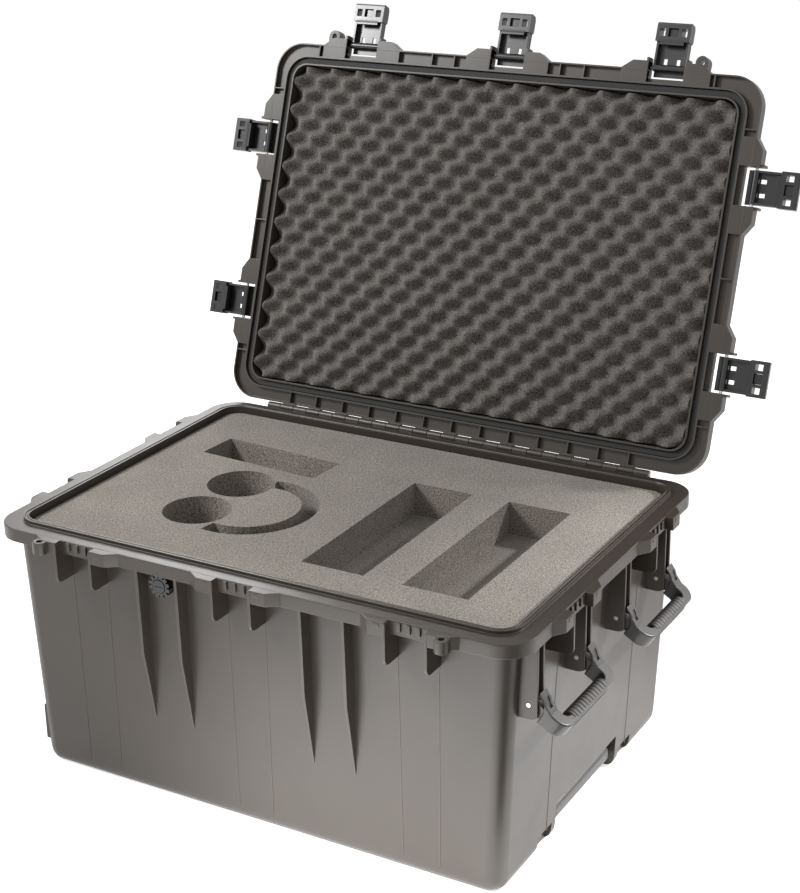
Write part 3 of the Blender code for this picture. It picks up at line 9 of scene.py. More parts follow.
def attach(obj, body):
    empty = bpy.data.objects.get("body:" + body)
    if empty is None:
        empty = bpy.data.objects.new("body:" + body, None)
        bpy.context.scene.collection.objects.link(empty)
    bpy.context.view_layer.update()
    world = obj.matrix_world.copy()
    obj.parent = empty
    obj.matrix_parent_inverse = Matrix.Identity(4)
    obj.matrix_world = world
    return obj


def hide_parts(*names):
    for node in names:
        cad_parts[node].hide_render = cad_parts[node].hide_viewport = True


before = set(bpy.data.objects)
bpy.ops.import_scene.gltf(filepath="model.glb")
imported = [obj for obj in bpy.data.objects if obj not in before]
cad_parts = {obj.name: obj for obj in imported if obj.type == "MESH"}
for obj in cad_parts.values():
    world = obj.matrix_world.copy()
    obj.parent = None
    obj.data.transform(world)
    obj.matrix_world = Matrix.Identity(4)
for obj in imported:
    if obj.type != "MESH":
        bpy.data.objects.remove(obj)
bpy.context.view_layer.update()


# Tub. One thick moulding in satin charcoal plastic with a fine grain: a deep tub with drafted
# sides, a flat rim with a hanging skirt, and a sealing tongue round the mouth. The pull handle's
# recess, the wheel wells and the stacking notches are cut out of its bottom edge.
RIM_X, RIM_Y, RIM_Z = 0.411, 0.290, 0.375
SKIRT_Z = 0.3555
WALL_X, WALL_Y = 0.389, 0.268
SIDE_DRAFT, FRONT_DRAFT = 0.018, 0.002
CAVITY_X, CAVITY_Y = 0.380, 0.259
TONGUE_X, TONGUE_Y, TONGUE_Z = 0.388, 0.267, 0.380
TONGUE_GROOVE = ((0.0022, 0.028, TONGUE_Z, 0.0007), (0.0028, 0.0285, 0.3789, 0.0004),
                 (0.0052, 0.031, 0.3789, 0.0004), (0.0058, 0.0315, TONGUE_Z, 0.0007))
SKIRT_THICK, SKIRT_ROOF = 0.003, 0.371
FLOOR_Z, WALL_THICK = 0.034, 0.005
FOOT_RIM, UNDERSIDE_Z = 0.028, 0.030
CORNER_POINTS = 14
SHELL_COLOUR, SHELL_ROUGHNESS = (0.038, 0.030, 0.0235), 0.36


def wall_size(z):
    """Half length and half depth of the outer wall, which leans in evenly towards the floor."""
    share = 1 - z / RIM_Z
    return WALL_X - SIDE_DRAFT * share, WALL_Y - FRONT_DRAFT * share


def eased(corners, radii, steps=4):
    """Path through the given corners, each replaced by a quadratic Bezier curve that leaves and
    joins its two sides one radius away. The first and last points stay as they are."""
    corners = np.asarray(corners, float)
    radii = np.asarray(radii, float)[:, None]
    before, after = np.roll(corners, 1, 0) - corners, np.roll(corners, -1, 0) - corners
    start = corners + before * np.minimum(radii / np.linalg.norm(before, axis=1)[:, None], 0.48)
    end = corners + after * np.minimum(radii / np.linalg.norm(after, axis=1)[:, None], 0.48)
    t = np.linspace(0, 1, steps + 1)[None, :, None]
    curve = (1 - t) ** 2 * start[:, None] + 2 * t * (1 - t) * corners[:, None] + t * t * end[:, None]
    path = curve.reshape(-1, corners.shape[1])
    new = np.r_[True, np.linalg.norm(np.diff(path, axis=0), axis=1) > 1e-6]
    return path[new]


def section(bends):
    """Eased path through bends of (half length, half depth, corner radius, height, ease)."""
    bends = np.array(bends)
    return eased(bends[:, :4], bends[:, 4])


def rounded_rings(sizes, steps=CORNER_POINTS):
    """Grid of points: row v is a rounded rectangle with the half length, half depth, corner
    radius and height of sizes[v], and column u is the same place on every rectangle."""
    corner = np.repeat(np.arange(4), steps + 1)
    angle = (corner + np.tile(np.arange(steps + 1) / steps, 4)) * np.pi / 2
    side_x = np.where((corner == 0) | (corner == 3), 1, -1)
    side_y = np.where(corner < 2, 1, -1)
    half_x, half_y, radius, z = (np.asarray(sizes)[:, k, None] for k in range(4))
    x = side_x * (half_x - radius) + radius * np.cos(angle)
    y = side_y * (half_y - radius) + radius * np.sin(angle)
    return np.stack(np.broadcast_arrays(x, y, z), -1)


def grid_faces(rows, columns, wrap_rows=False, wrap_columns=True):
    """Quads between neighbouring points of a grid of points, row after row."""
    r = np.arange(rows if wrap_rows else rows - 1)[:, None]
    c = np.arange(columns if wrap_columns else columns - 1)[None, :]
    up, along = (r + 1) % rows, (c + 1) % columns
    quads = (r * columns + c, r * columns + along, up * columns + along, up * columns + c)
    return np.stack(np.broadcast_arrays(*quads), -1).reshape(-1, 4)


def skin(grid, capped=True, wrap_rows=False):
    """Points and faces of a surface over a grid whose rows are closed rings."""
    rows, columns = grid.shape[:2]
    faces = grid_faces(rows, columns, wrap_rows).tolist()
    if capped:
        faces.append(list(range(columns))[::-1])
        faces.append(list(range((rows - 1) * columns, rows * columns)))
    return grid.reshape(-1, 3), faces


def joined(solids):
    """Several (points, faces) as one, with the corner numbers of each shifted past the last."""
    points = np.concatenate([np.asarray(part[0], float) for part in solids])
    starts = np.cumsum([0] + [len(part[0]) for part in solids[:-1]])
    faces = [(np.asarray(face) + start).tolist()
             for start, part in zip(starts, solids) for face in part[1]]
    return points, faces


def placed(solid, matrix):
    """The solid with its points carried by a 4 by 4 matrix."""
    points, faces = solid
    return points @ matrix[:3, :3].T + matrix[:3, 3], faces


def block(low, high):
    """A box between two opposite corners."""
    shares = np.array([(i & 1, i >> 1 & 1, i >> 2 & 1) for i in range(8)])
    points = np.asarray(low) + shares * (np.asarray(high) - np.asarray(low))
    return points, [[0, 2, 3, 1], [4, 5, 7, 6], [0, 1, 5, 4],
                    [1, 3, 7, 5], [3, 2, 6, 7], [2, 0, 4, 6]]


def extruded(outline, axis, low, high):
    """An outline pulled from low to high along an axis. It holds (y, z) for X, (x, z) for Y and
    (x, y) for Z."""
    outline, place = np.asarray(outline, float), "XYZ".index(axis)
    return skin(np.stack([np.insert(outline, place, level, axis=1) for level in (low, high)]))


def arc(centre, radius, start, end, steps):
    """Points on a circular arc, both ends included."""
    angle = np.linspace(start, end, steps + 1)
    return np.stack((centre[0] + radius * np.cos(angle), centre[1] + radius * np.sin(angle)), -1)


def rod(axis, centre, radius, low, high, sides=24):
    """A cylinder: a regular polygon round the centre, pulled from low to high along an axis."""
    return extruded(arc(centre, radius, 0, math.tau * (1 - 1 / sides), sides - 1), axis, low, high)


def outwards(mesh):
    """Turns the faces of a closed mesh so that they all point out of it."""
    whole = bmesh.new()
    whole.from_mesh(mesh)
    bmesh.ops.recalc_face_normals(whole, faces=whole.faces)
    whole.to_mesh(mesh)
    whole.free()


def new_object(name, solid):
    """A mesh object of the solid, with its faces pointing outwards."""
    points, faces = solid
    mesh = bpy.data.meshes.new(name)
    mesh.from_pydata(np.asarray(points).tolist(), [], faces)
    made = bpy.data.objects.new(name, mesh)
    bpy.context.collection.objects.link(made)
    outwards(mesh)
    return made


def settled(made):
    """Applies an object's modifiers to its mesh."""
    bpy.context.view_layer.update()
    evaluated = made.evaluated_get(bpy.context.evaluated_depsgraph_get())
    mesh = bpy.data.meshes.new_from_object(evaluated)
    made.modifiers.clear()
    made.data = mesh
    return made


def carved(made, solids, operation="DIFFERENCE"):
    """Cuts the solids from an object, or joins them to it, one after another."""
    tools = []
    for solid in solids:
        helper = new_object("carving_tool", solid)
        step = made.modifiers.new("carve", "BOOLEAN")
        step.operation, step.object = operation, helper
        tools.append(helper)
    settled(made)
    for helper in tools:
        bpy.data.objects.remove(helper, do_unlink=True)
    return made


def rounded_edges(made, width, segments=2, angle=35):
    """Rounds every edge that bends by more than an angle in degrees, in this many steps."""
    edges = made.modifiers.new("soft edges", "BEVEL")
    edges.width, edges.segments = width, segments
    edges.limit_method, edges.angle_limit = "ANGLE", math.radians(angle)
    edges.harden_normals = False
    return settled(made)


def finished(made, finish, body, replaces=(), sharp=38):
    """Gives a piece its finish, shades it smooth between edges that bend by more than a sharp
    angle in degrees, and lets it ride on its body."""
    made.data.materials.clear()
    made.data.materials.append(finish)
    made.data.shade_smooth()
    made.data.set_sharp_from_angle(angle=math.radians(sharp))
    flats = made.modifiers.new("flat faces shade flat", "WEIGHTED_NORMAL")
    flats.keep_sharp = True
    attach(made, body)
    if replaces:
        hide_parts(*replaces)
    return made


def surface(name, levels):
    """A node material whose shader has these levels, with the shader, its object coordinates, a
    helper that adds a node and sets or links its inputs, and the links."""
    made = bpy.data.materials.new(name)
    made.use_nodes = True
    nodes, links = made.node_tree.nodes, made.node_tree.links
    shader = nodes["Principled BSDF"]
    for key, value in levels.items():
        shader.inputs[key].default_value = value

    def node(kind, inputs=(), **settings):
        """A new node. Inputs given as sockets are linked, and the others are set."""
        added = nodes.new(kind)
        for key, value in settings.items():
            setattr(added, key, value)
        for key, value in dict(inputs).items():
            if isinstance(value, bpy.types.NodeSocket):
                links.new(value, added.inputs[key])
            else:
                added.inputs[key].default_value = value
        return added

    place = node("ShaderNodeTexCoord").outputs["Object"]
    return made, shader, place, node, links


def noise(node, place, scale, detail, **more):
    """Cloudy noise round 0.5, with this many clouds to the metre and finer ones in detail."""
    inputs = {"Vector": place, "Scale": scale, "Detail": detail, **more}
    return node("ShaderNodeTexNoise", inputs).outputs["Fac"]


def ranged(node, value, low, high, start=0.0, end=1.0):
    """A value carried evenly from low and high to start and end, and held at both ends."""
    inputs = {"Value": value, "From Min": low, "From Max": high, "To Min": start, "To Max": end}
    return node("ShaderNodeMapRange", inputs).outputs["Result"]


def blended(node, share, dark, light):
    """Colour that runs evenly from dark to light as the share runs from 0 to 1."""
    tone = node("ShaderNodeMix", {"Factor": share}, data_type="RGBA")
    tone.inputs["A"].default_value, tone.inputs["B"].default_value = (*dark, 1), (*light, 1)
    return tone.outputs["Result"]


def scaled(node, colour, factor):
    """A colour times a factor."""
    inputs = {0: colour, "Scale": factor}
    return node("ShaderNodeVectorMath", inputs, operation="SCALE").outputs["Vector"]


def dented(node, height, strength, distance):
    """The normal of a surface that rises by the height times a distance, at this strength."""
    inputs = {"Height": height, "Strength": strength, "Distance": distance}
    return node("ShaderNodeBump", inputs).outputs["Normal"]


def moulded(name, colour, roughness, grain=900.0, depth=0.10, mottle=0.10, gloss=0.5, edge=2.4):
    """Moulded plastic: a fine pebbled grain in the normal, slow cloudy changes of tone, patches that
    hands and straps have polished, and edges painted paler as a painted highlight where the normal
    of a rounded edge bends away from the face's own."""
    made, shader, place, node, links = surface(name, {"Specular IOR Level": gloss})
    dark, light = ([c * (1 + sign * mottle) for c in colour] for sign in (-1, 1))
    tone = blended(node, noise(node, place, 7.0, 4.0), dark, light)
    # Painted highlight: the base colour is raised, up to edge times, on rounded edges where the
    # Bevel normal bends away from the face's own. It stands in for the light that those edges catch.
    softened = node("ShaderNodeBevel", {"Radius": 0.0016}, samples=4).outputs["Normal"]
    bare = node("ShaderNodeNewGeometry").outputs["Normal"]
    bend = node("ShaderNodeVectorMath", {0: softened, 1: bare}, operation="DOT_PRODUCT")
    painted_edge_highlight = ranged(node, bend.outputs["Value"], 0.97, 0.85, 1.0, edge)
    links.new(scaled(node, tone, painted_edge_highlight), shader.inputs["Base Color"])
    worn = noise(node, place, 23.0, 5.0)
    shine = ranged(node, worn, 0.3, 0.7, roughness - 0.015, roughness + 0.025)
    links.new(shine, shader.inputs["Roughness"])
    pebble = noise(node, place, grain, 2.0)
    links.new(dented(node, pebble, depth, 0.0006), shader.inputs["Normal"])
    return made


shell_plastic = moulded("charcoal_shell_plastic", SHELL_COLOUR, SHELL_ROUGHNESS)


def inner_floor():
    """Half length and half depth of the cavity's floor, one wall thickness inside the wall."""
    return np.subtract(wall_size(FLOOR_Z), WALL_THICK)


def tub_profile():
    """The tub's section as bends, from the inner floor over the tongue and rim, down the wall
    and under the foot. The groove along the tongue is given by its distance from the cavity."""
    floor, top, foot = inner_floor(), wall_size(SKIRT_ROOF), wall_size(0.0)
    groove = [(CAVITY_X + out, CAVITY_Y + out, *rest) for out, *rest in TONGUE_GROOVE]
    return section([
        (*floor, 0.026, FLOOR_Z, 0.0), (CAVITY_X, CAVITY_Y, 0.026, TONGUE_Z, 0.0009), *groove,
        (TONGUE_X, TONGUE_Y, 0.034, TONGUE_Z, 0.0009), (TONGUE_X, TONGUE_Y, 0.034, RIM_Z, 0.0010),
        (RIM_X, RIM_Y, 0.045, RIM_Z, 0.0022), (RIM_X, RIM_Y, 0.045, SKIRT_Z, 0.0010),
        (RIM_X - SKIRT_THICK, RIM_Y - SKIRT_THICK, 0.042, SKIRT_Z, 0.0010),
        (RIM_X - SKIRT_THICK, RIM_Y - SKIRT_THICK, 0.042, SKIRT_ROOF, 0.0015),
        (*top, 0.024, SKIRT_ROOF, 0.004), (*foot, 0.024, 0.0, 0.020),
        (foot[0] - FOOT_RIM, foot[1] - FOOT_RIM, 0.010, 0.0, 0.002),
        (foot[0] - FOOT_RIM, foot[1] - FOOT_RIM, 0.010, UNDERSIDE_Z, 0.0)])


FOOT_X = wall_size(0.018)[0]
BELOW_FLOOR = -0.002
PULL_RECESS = ((0.3311, -0.100, BELOW_FLOOR), (0.376, 0.100, 0.0505))
WHEEL_Y, WELL_HALF = (-0.232, 0.232), 0.0183
WHEEL_WELLS = [((-0.378, y - WELL_HALF, BELOW_FLOOR), (-0.3219, y + WELL_HALF, 0.0795))
               for y in WHEEL_Y]
HOUSING_BASE, HOUSING_INSET = 0.031, 0.0015
CENTRE_FOOT = ((-0.035, -0.035, 0.0), (0.035, 0.035, 0.0315))
NOTCH_START, NOTCH_END, NOTCH_DEPTH, NOTCH_TOP = 0.112, 0.154, 0.010, 0.026
tub = new_object("tub_shell_skin", skin(rounded_rings(tub_profile())))
housings = [block((0.325, -0.106, HOUSING_BASE), (FOOT_X - HOUSING_INSET, 0.106, 0.0565)),
            block((-FOOT_X + HOUSING_INSET, -0.2605, HOUSING_BASE), (-0.3159, -0.2077, 0.0855)),
            block((-FOOT_X + HOUSING_INSET, 0.2077, HOUSING_BASE), (-0.3159, 0.2605, 0.0855)),
            block(*CENTRE_FOOT)]
carved(tub, housings, "UNION")
cuts = [block(*PULL_RECESS), *(block(*well) for well in WHEEL_WELLS)]
for end in (-1, 1):
    near, far = sorted((end * NOTCH_START, end * NOTCH_END))
    cuts.append(block((FOOT_X - NOTCH_DEPTH, near, BELOW_FLOOR),
                      (FOOT_X + NOTCH_DEPTH, far, NOTCH_TOP)))
carved(tub, cuts)
finished(tub, shell_plastic, "base", ["base_shell"], 32)


# Latch stations of the tub. Each has two ears that stand out of the rim, webs under them that
# guard the latch, and three striking tabs between them. All of it is moulded with the tub, and
# the outermost front ears carry an eye for a padlock.
FRONT_STATIONS = (-0.258, 0.0, 0.258)
SIDE_STATIONS = (-0.135, 0.135)
EAR_ROOT = 0.0022
EAR = ((0.0285, EAR_ROOT), (0.0285, -0.012), (0.053, -0.012), (0.070, 0.0), (0.070, EAR_ROOT))
EYE_X, EYE_Y, EYE_HOLE, EYE_RADIUS = 0.053, -0.0145, 0.0040, 0.0098
STRIKER_X, STRIKER_HALF = (-0.014, 0.0, 0.014), 0.003
PAD_X, PAD_HALF, PAD_TOP = (-0.041, 0.041), 0.0055, 0.3735
WEB_NEAR, WEB_FAR, WEB_TOP, WEB_ROUND = 0.0275, 0.0315, 0.373, 0.010


def shifted(x=0.0, y=0.0, z=0.0):
    """Matrix that moves by (x, y, z)."""
    return np.array(Matrix.Translation((x, y, z)))


def turned(angle, axis):
    """Matrix that turns by an angle about an axis."""
    return np.array(Matrix.Rotation(angle, 4, axis))


def station_frames():
    """(name, frame, side sign or 0, padlock side or 0) of each latch station. In a frame X runs
    along the rim, -Y points out of it and Z is the height."""
    rows = []
    for side, (name, x) in enumerate(zip(("front_left", "front_middle", "front_right"),
                                         FRONT_STATIONS)):
        rows.append((name, shifted(x, -RIM_Y), 0, side - 1))
    for word, sign in (("right", 1), ("left", -1)):
        for end, y in zip(("front", "back"), SIDE_STATIONS):
            frame_here = shifted(sign * RIM_X, y) @ turned(sign * math.pi / 2, "Z")
            rows.append((f"{word}_{end}", frame_here, sign, 0))
    return rows


def ear_pair(root, low, high):
    """Two mirrored ears: flat fronts with sloping outer shoulders."""
    solids = []
    for sign in (-1, 1):
        outline = np.array(EAR) * (sign, 1)
        outline[[0, -1], 1] = root
        solids.append(extruded(outline, "Z", low, high))
    return solids


def padlock_eye(side, root, low, high, count=40):
    """Rounded tab with a hole, as a ring of quads round the hole on both faces. The half of the
    outer ring that faces the rim is stretched until it meets the ear's root."""
    angle = np.linspace(0, math.tau, count, endpoint=False)
    ray = np.stack((np.cos(angle), np.sin(angle)), -1)
    centre = np.array((side * EYE_X, EYE_Y))
    hole = centre + EYE_HOLE * ray
    outer = centre + EYE_RADIUS * ray
    stretched = centre[1] + np.abs(ray[:, 1]) * (root - centre[1])
    outer[:, 1] = np.where(ray[:, 1] > 0, stretched, outer[:, 1])
    levels = ((hole, low), (outer, low), (outer, high), (hole, high))
    grid = np.stack([np.column_stack((ring, np.full(count, z))) for ring, z in levels])
    return skin(grid, capped=False, wrap_rows=True)


def webs(signs, inner):
    """Thin guards that hang from the ears with a rounded lower front corner."""
    corner = arc((-0.0024, RIM_Z - 0.0505), WEB_ROUND, math.pi, 1.5 * math.pi, 8)
    outline = np.concatenate(([(inner, WEB_TOP), (-0.0124, WEB_TOP)], corner,
                              [(inner, RIM_Z - 0.0605)]))
    return [extruded(outline, "X", *sorted((sign * WEB_NEAR, sign * WEB_FAR))) for sign in signs]


def moulded_on(name, solids, rounding, body="base"):
    """A detail of a shell's own moulding, joined from solids, with its edges rounded."""
    detail = rounded_edges(new_object(name, joined(solids)), rounding)
    return finished(detail, shell_plastic, body)


ears, guards = [], []
for _, station, side, padlock in station_frames():
    parts = ear_pair(EAR_ROOT, SKIRT_Z + 0.0002, RIM_Z - 0.0002)
    parts += [block((x - STRIKER_HALF, -0.003, 0.3615), (x + STRIKER_HALF, 0.0015, PAD_TOP))
              for x in STRIKER_X]
    parts += [block((x - PAD_HALF, -0.0128, 0.3665), (x + PAD_HALF, -0.010, PAD_TOP))
              for x in PAD_X if not padlock or x * padlock < 0]
    if padlock:
        parts.append(padlock_eye(padlock, EAR_ROOT, 0.3563, 0.3742))
    ears += [placed(part, station) for part in parts]
    inner_wall = wall_size(RIM_Z - 0.0605)
    inner = RIM_X - inner_wall[0] if side else RIM_Y - inner_wall[1]
    guards += [placed(part, station) for part in webs((-1,) if side else (-1, 1),
                                                     inner + 0.001)]
moulded_on("tub_latch_ears", ears, 0.0011)
moulded_on("tub_latch_guards", guards, 0.0007)


# Fins, mould seams and hinge knuckles of the tub. Four long fins run down from the skirt and die
# into the front wall. The seams are the fine witness lines that the mould's slides leave.
FIN_X = (-0.161, -0.097, 0.097, 0.161)
FIN_OUTLINE = ((-0.2645, 0.373), (-0.2894, 0.373), (-0.2894, SKIRT_Z), (-0.2865, 0.232),
               (-0.2668, 0.1205), (-0.2645, 0.1205))
FIN_HALF = (0.0024, 0.0024, 0.0024, 0.0022, 0.0010, 0.0010)
SEAM_SECTION = ((-0.0006, 0.002), (-0.0006, -0.0004), (0.0006, -0.0004), (0.0006, 0.002))
SEAM_POINTS, SEAM_FOOT = 12, 0.022
FRONT_SEAM_TOP, SIDE_SEAM_TOP = 0.335, 0.345
SIDE_SEAM_Y = (-0.128, 0.135)


def fin(x):
    """A blade that is deepest under the skirt and tapers in depth and width towards its tip."""
    half = np.array(FIN_HALF)
    return skin(np.stack([np.column_stack((x + side * half, FIN_OUTLINE)) for side in (-1, 1)]))


def seam(x_top, x_bottom):
    """A witness line 0.4 mm proud, along the front wall's draft."""
    z = np.linspace(FRONT_SEAM_TOP, SEAM_FOOT, SEAM_POINTS)
    x = np.linspace(x_top, x_bottom, SEAM_POINTS)
    y = -(WALL_Y - FRONT_DRAFT * (1 - z / RIM_Z))
    return skin(np.stack([np.stack((x + dx, y + dy, z), -1) for dx, dy in SEAM_SECTION], 1))


def side_seam(y, sign):
    """The same line upright at one y, along the draft of an end wall."""
    z = np.linspace(SIDE_SEAM_TOP, SEAM_FOOT, SEAM_POINTS)
    x = WALL_X - SIDE_DRAFT * (1 - z / RIM_Z)
    lines = [np.stack((sign * (x - inward), np.full(SEAM_POINTS, y + along), z), -1)
             for along, inward in SEAM_SECTION]
    return skin(np.stack(lines, 1))


moulded_on("tub_front_fins", [fin(x) for x in FIN_X], 0.0009)
lines = [seam(x + s * 0.0295, x + s * 0.0275) for x in FRONT_STATIONS for s in (-1, 1)]
lines += [side_seam(sign * y, sign) for y in SIDE_SEAM_Y for sign in (-1, 1)]
finished(new_object("tub_mould_seams", joined(lines)), shell_plastic, "base")

HINGE_Y, HINGE_Z = 0.2965, 0.37525
HINGE_LENGTH, KNUCKLES = 0.665, 27
KNUCKLE_PITCH = HINGE_LENGTH / KNUCKLES
KNUCKLE_RADIUS, KNUCKLE_GAP = 0.006, 0.0004


def knuckles(first, side):
    """Every second barrel round the hinge rod with its neck: side -1 reaches down, 1 up."""
    neck = [(0.2885, HINGE_Z + side * KNUCKLE_RADIUS), (0.2885, HINGE_Z + side * 0.0005),
            (0.2905, HINGE_Z + side * 0.0005)]
    barrel = arc((HINGE_Y, HINGE_Z), KNUCKLE_RADIUS, math.pi, math.pi + side * 1.5 * math.pi, 18)
    outline = np.concatenate((neck, barrel))
    starts = -HINGE_LENGTH / 2 + KNUCKLE_PITCH * np.arange(first, KNUCKLES, 2)
    return [extruded(outline, "X", x + KNUCKLE_GAP, x + KNUCKLE_PITCH - KNUCKLE_GAP)
            for x in starts]


moulded_on("tub_hinge_knuckles", knuckles(0, -1), 0.0006)


# Handle brackets of the tub. Each folding handle hangs between two double-walled rails that run
# from the rim down past its pins, open to the front so that the arm can swing out.
PIVOT_X, PIVOT_Z = 0.398, 0.2755
HANDLE_Y = (-0.1612, 0.1088)
HANDLE_WIDTH, ARM_WIDTH = 0.1615, 0.020
RAIL_REACH = (HANDLE_WIDTH - ARM_WIDTH) / 2
RAIL_FOOT, RAIL_FRONT, RAIL_ROUND = 0.2555, 0.4103, 0.020
RAIL_OUTSIDE, RAIL_INSIDE = 0.010, 0.006


def bracket_walls(sign):
    """Pairs of walls with a lower front corner rounded about the handle's pivot."""
    inner = wall_size(RAIL_FOOT)[0] - 0.0015
    start = -math.acos(0.0123 / RAIL_ROUND)
    corner = arc((PIVOT_X, PIVOT_Z), RAIL_ROUND, start, -math.pi / 2, 10)
    outline = np.concatenate(([(inner, WEB_TOP), (RAIL_FRONT, WEB_TOP)], corner,
                              [(inner, RAIL_FOOT)]))
    outline = outline * (sign, 1)
    solids = []
    for handle_y in HANDLE_Y:
        for middle in (sign * handle_y - RAIL_REACH, sign * handle_y + RAIL_REACH):
            for one in (-1, 1):
                near, far = sorted((middle + one * RAIL_OUTSIDE, middle + one * RAIL_INSIDE))
                solids.append(extruded(outline, "Y", near, far))
    return solids


moulded_on("tub_handle_brackets", bracket_walls(1) + bracket_walls(-1), 0.0011)


# Foam in the tub. Three layers of open-celled grey foam: a pad cut round the housings, a plain
# block, and a top layer with knife-cut bays. Cut edges are crisp but soft, and every cell shows.
FOAM_TOP = 0.369
POCKET_FLOOR, SLIM_FLOOR = 0.319, 0.329
BAY_FRONT, BAY_BACK, CUP_RADIUS = -0.185, 0.125, 0.050
BAND_REACH = math.radians(100)
FOAM_GAP, FOAM_CORNER, FOAM_SOFTNESS = 0.0006, 0.0266, 0.95


def open_foam(name, light, dark, cells=480.0, depth=0.6, painted_glint_strength=0.0):
    """Cut open-celled foam: crisp pale and dark specks about 1.5 mm across over a slow mottle, with
    pores that dent the surface and sparse painted glints, bright specks added to the colour as
    painted highlights on cell walls. Fully matte."""
    made, shader, place, node, links = surface(name, {
        "Roughness": 0.97, "Specular IOR Level": 0.12, "Sheen Weight": 0.25,
        "Sheen Roughness": 0.6})
    speck = ranged(node, noise(node, place, cells, 2.0, Roughness=0.7), 0.36, 0.62)
    tone = blended(node, speck, dark, light)
    shade = ranged(node, noise(node, place, 11.0, 3.0), 0.3, 0.7, 0.90, 1.08)
    # Painted highlight: sparse bright specks added to the base colour, standing in for glints on
    # cell walls.
    painted_glint = ranged(node, noise(node, place, 850.0, 1.0), 0.60, 0.70, 0.0, painted_glint_strength)
    tone_with_painted_glints = node("ShaderNodeVectorMath", {0: scaled(node, tone, shade), 1: painted_glint}, operation="ADD")
    links.new(tone_with_painted_glints.outputs["Vector"], shader.inputs["Base Color"])
    pores = node("ShaderNodeTexVoronoi", {"Vector": place, "Scale": cells * 1.3})
    dents = dented(node, pores.outputs["Distance"], depth, 0.0012)
    links.new(dents, shader.inputs["Normal"])
    return made


base_foam = open_foam("grey_cut_foam", (0.39, 0.35, 0.30), (0.085, 0.074, 0.062))


def foam_size(z):
    """Half length and half depth of the foam at a height: the cavity's, which grows evenly from
    the floor to the rim, less a small gap."""
    share = (z - FLOOR_Z) / (RIM_Z - FLOOR_Z)
    return inner_floor() * (1 - share) + np.array((CAVITY_X, CAVITY_Y)) * share - FOAM_GAP


def foam_layer(low, high, ease):
    """Rounded slab that follows the tub's draft, with its upper edge pressed soft."""
    bends = [(*foam_size(low), FOAM_CORNER, low), (*foam_size(high), FOAM_CORNER, high),
             (*(foam_size(high) - 0.012), 0.0150, high)]
    return skin(rounded_rings(eased(bends, (0.0, ease, 0.0), 5), 8))


def turned_slot(x, y, length, width, angle, low, high):
    """A block round the point (x, y), turned by an angle about it."""
    cut = block((-length / 2, -width / 2, low), (length / 2, width / 2, high))
    return placed(cut, shifted(x, y) @ turned(angle, "Z"))


def curved_slot(centre, radius, width, start, end, low, high):
    """A slot of even width along an arc: out along its outer side and back along its inner."""
    outline = np.concatenate((arc(centre, radius + width / 2, start, end, 40),
                              arc(centre, radius - width / 2, end, start, 40)))
    return extruded(outline, "Z", low, high)


layer = new_object("foam_layer_with_bays", foam_layer(0.294, FOAM_TOP, 0.004))
above = FOAM_TOP + 0.004
carved(layer, [block((0.035, BAY_FRONT, POCKET_FLOOR), (0.131, BAY_BACK, above)),
               block((0.189, BAY_FRONT, POCKET_FLOOR), (0.285, BAY_BACK, above)),
               turned_slot(-0.208, 0.112, 0.208, 0.068, math.radians(-4), SLIM_FLOOR, above),
               rod("Z", (-0.190, -0.105), CUP_RADIUS, POCKET_FLOOR, above, 64),
               rod("Z", (-0.190, 0.005), CUP_RADIUS, POCKET_FLOOR, above, 64),
               curved_slot((-0.130, -0.060), 0.086, 0.026, -BAND_REACH, BAND_REACH,
                           SLIM_FLOOR, above)])
rounded_edges(layer, 0.0012, 2, 50)
finished(layer, base_foam, "base", ["foam_top_layer"], 45)
middle = new_object("foam_block_below", foam_layer(0.0873, 0.2937, 0.002))
finished(middle, base_foam, "base", ["foam_middle_block"], 45)
pad = new_object("foam_floor_pad", foam_layer(0.0343, 0.0870, 0.002))
carved(pad, [block((0.3185, -0.1126, 0.03), (0.380, 0.1126, 0.0571)),
             block((-0.390, -0.270, 0.03), (-0.3153, -0.2071, 0.090)),
             block((-0.390, 0.2071, 0.03), (-0.3153, 0.270, 0.090))])
finished(pad, base_foam, "base", ["foam_bottom_pad"], 45)


# Lid. A shallow moulding in the same plastic, hinged along the back rim and standing open. Its
# rim has an outer channel with thin ribs and an inner groove for the gasket, and it is notched at
# each latch. It is worked out shut and then swung open about the hinge.
LID_Z = 0.3755
LID_OPEN = math.radians(109.4)
SWING = shifted(0, HINGE_Y, HINGE_Z) @ turned(-LID_OPEN, "X") @ shifted(0, -HINGE_Y, -HINGE_Z)


def lid_profile():
    """Section of the lid from its inner ceiling, over the ridges and channels of the rim, round
    the flange and up the outside to the sunk panel on top."""
    z, ceiling, top = LID_Z, LID_Z + 0.055, LID_Z + 0.061
    return section([
        (0.3742, 0.2532, 0.023, ceiling, 0.0), (0.3762, 0.2552, 0.023, z, 0.0008),
        (0.3792, 0.2582, 0.0252, z, 0.0008), (0.3792, 0.2582, 0.0252, z + 0.010, 0.0008),
        (0.3888, 0.2678, 0.0348, z + 0.010, 0.0008), (0.3888, 0.2678, 0.0348, z, 0.0008),
        (0.3918, 0.2708, 0.0378, z, 0.0008), (0.3918, 0.2708, 0.0378, z + 0.008, 0.0008),
        (0.4085, 0.2875, 0.0425, z + 0.008, 0.0008), (0.4085, 0.2875, 0.0425, z, 0.0007),
        (0.411, 0.290, 0.045, z, 0.0007), (0.411, 0.290, 0.045, z + 0.0195, 0.002),
        (0.385, 0.264, 0.024, z + 0.0195, 0.005), (0.380, 0.259, 0.024, top, 0.012),
        (0.320, 0.199, 0.024, top, 0.0025), (0.317, 0.196, 0.021, top - 0.003, 0.0)])


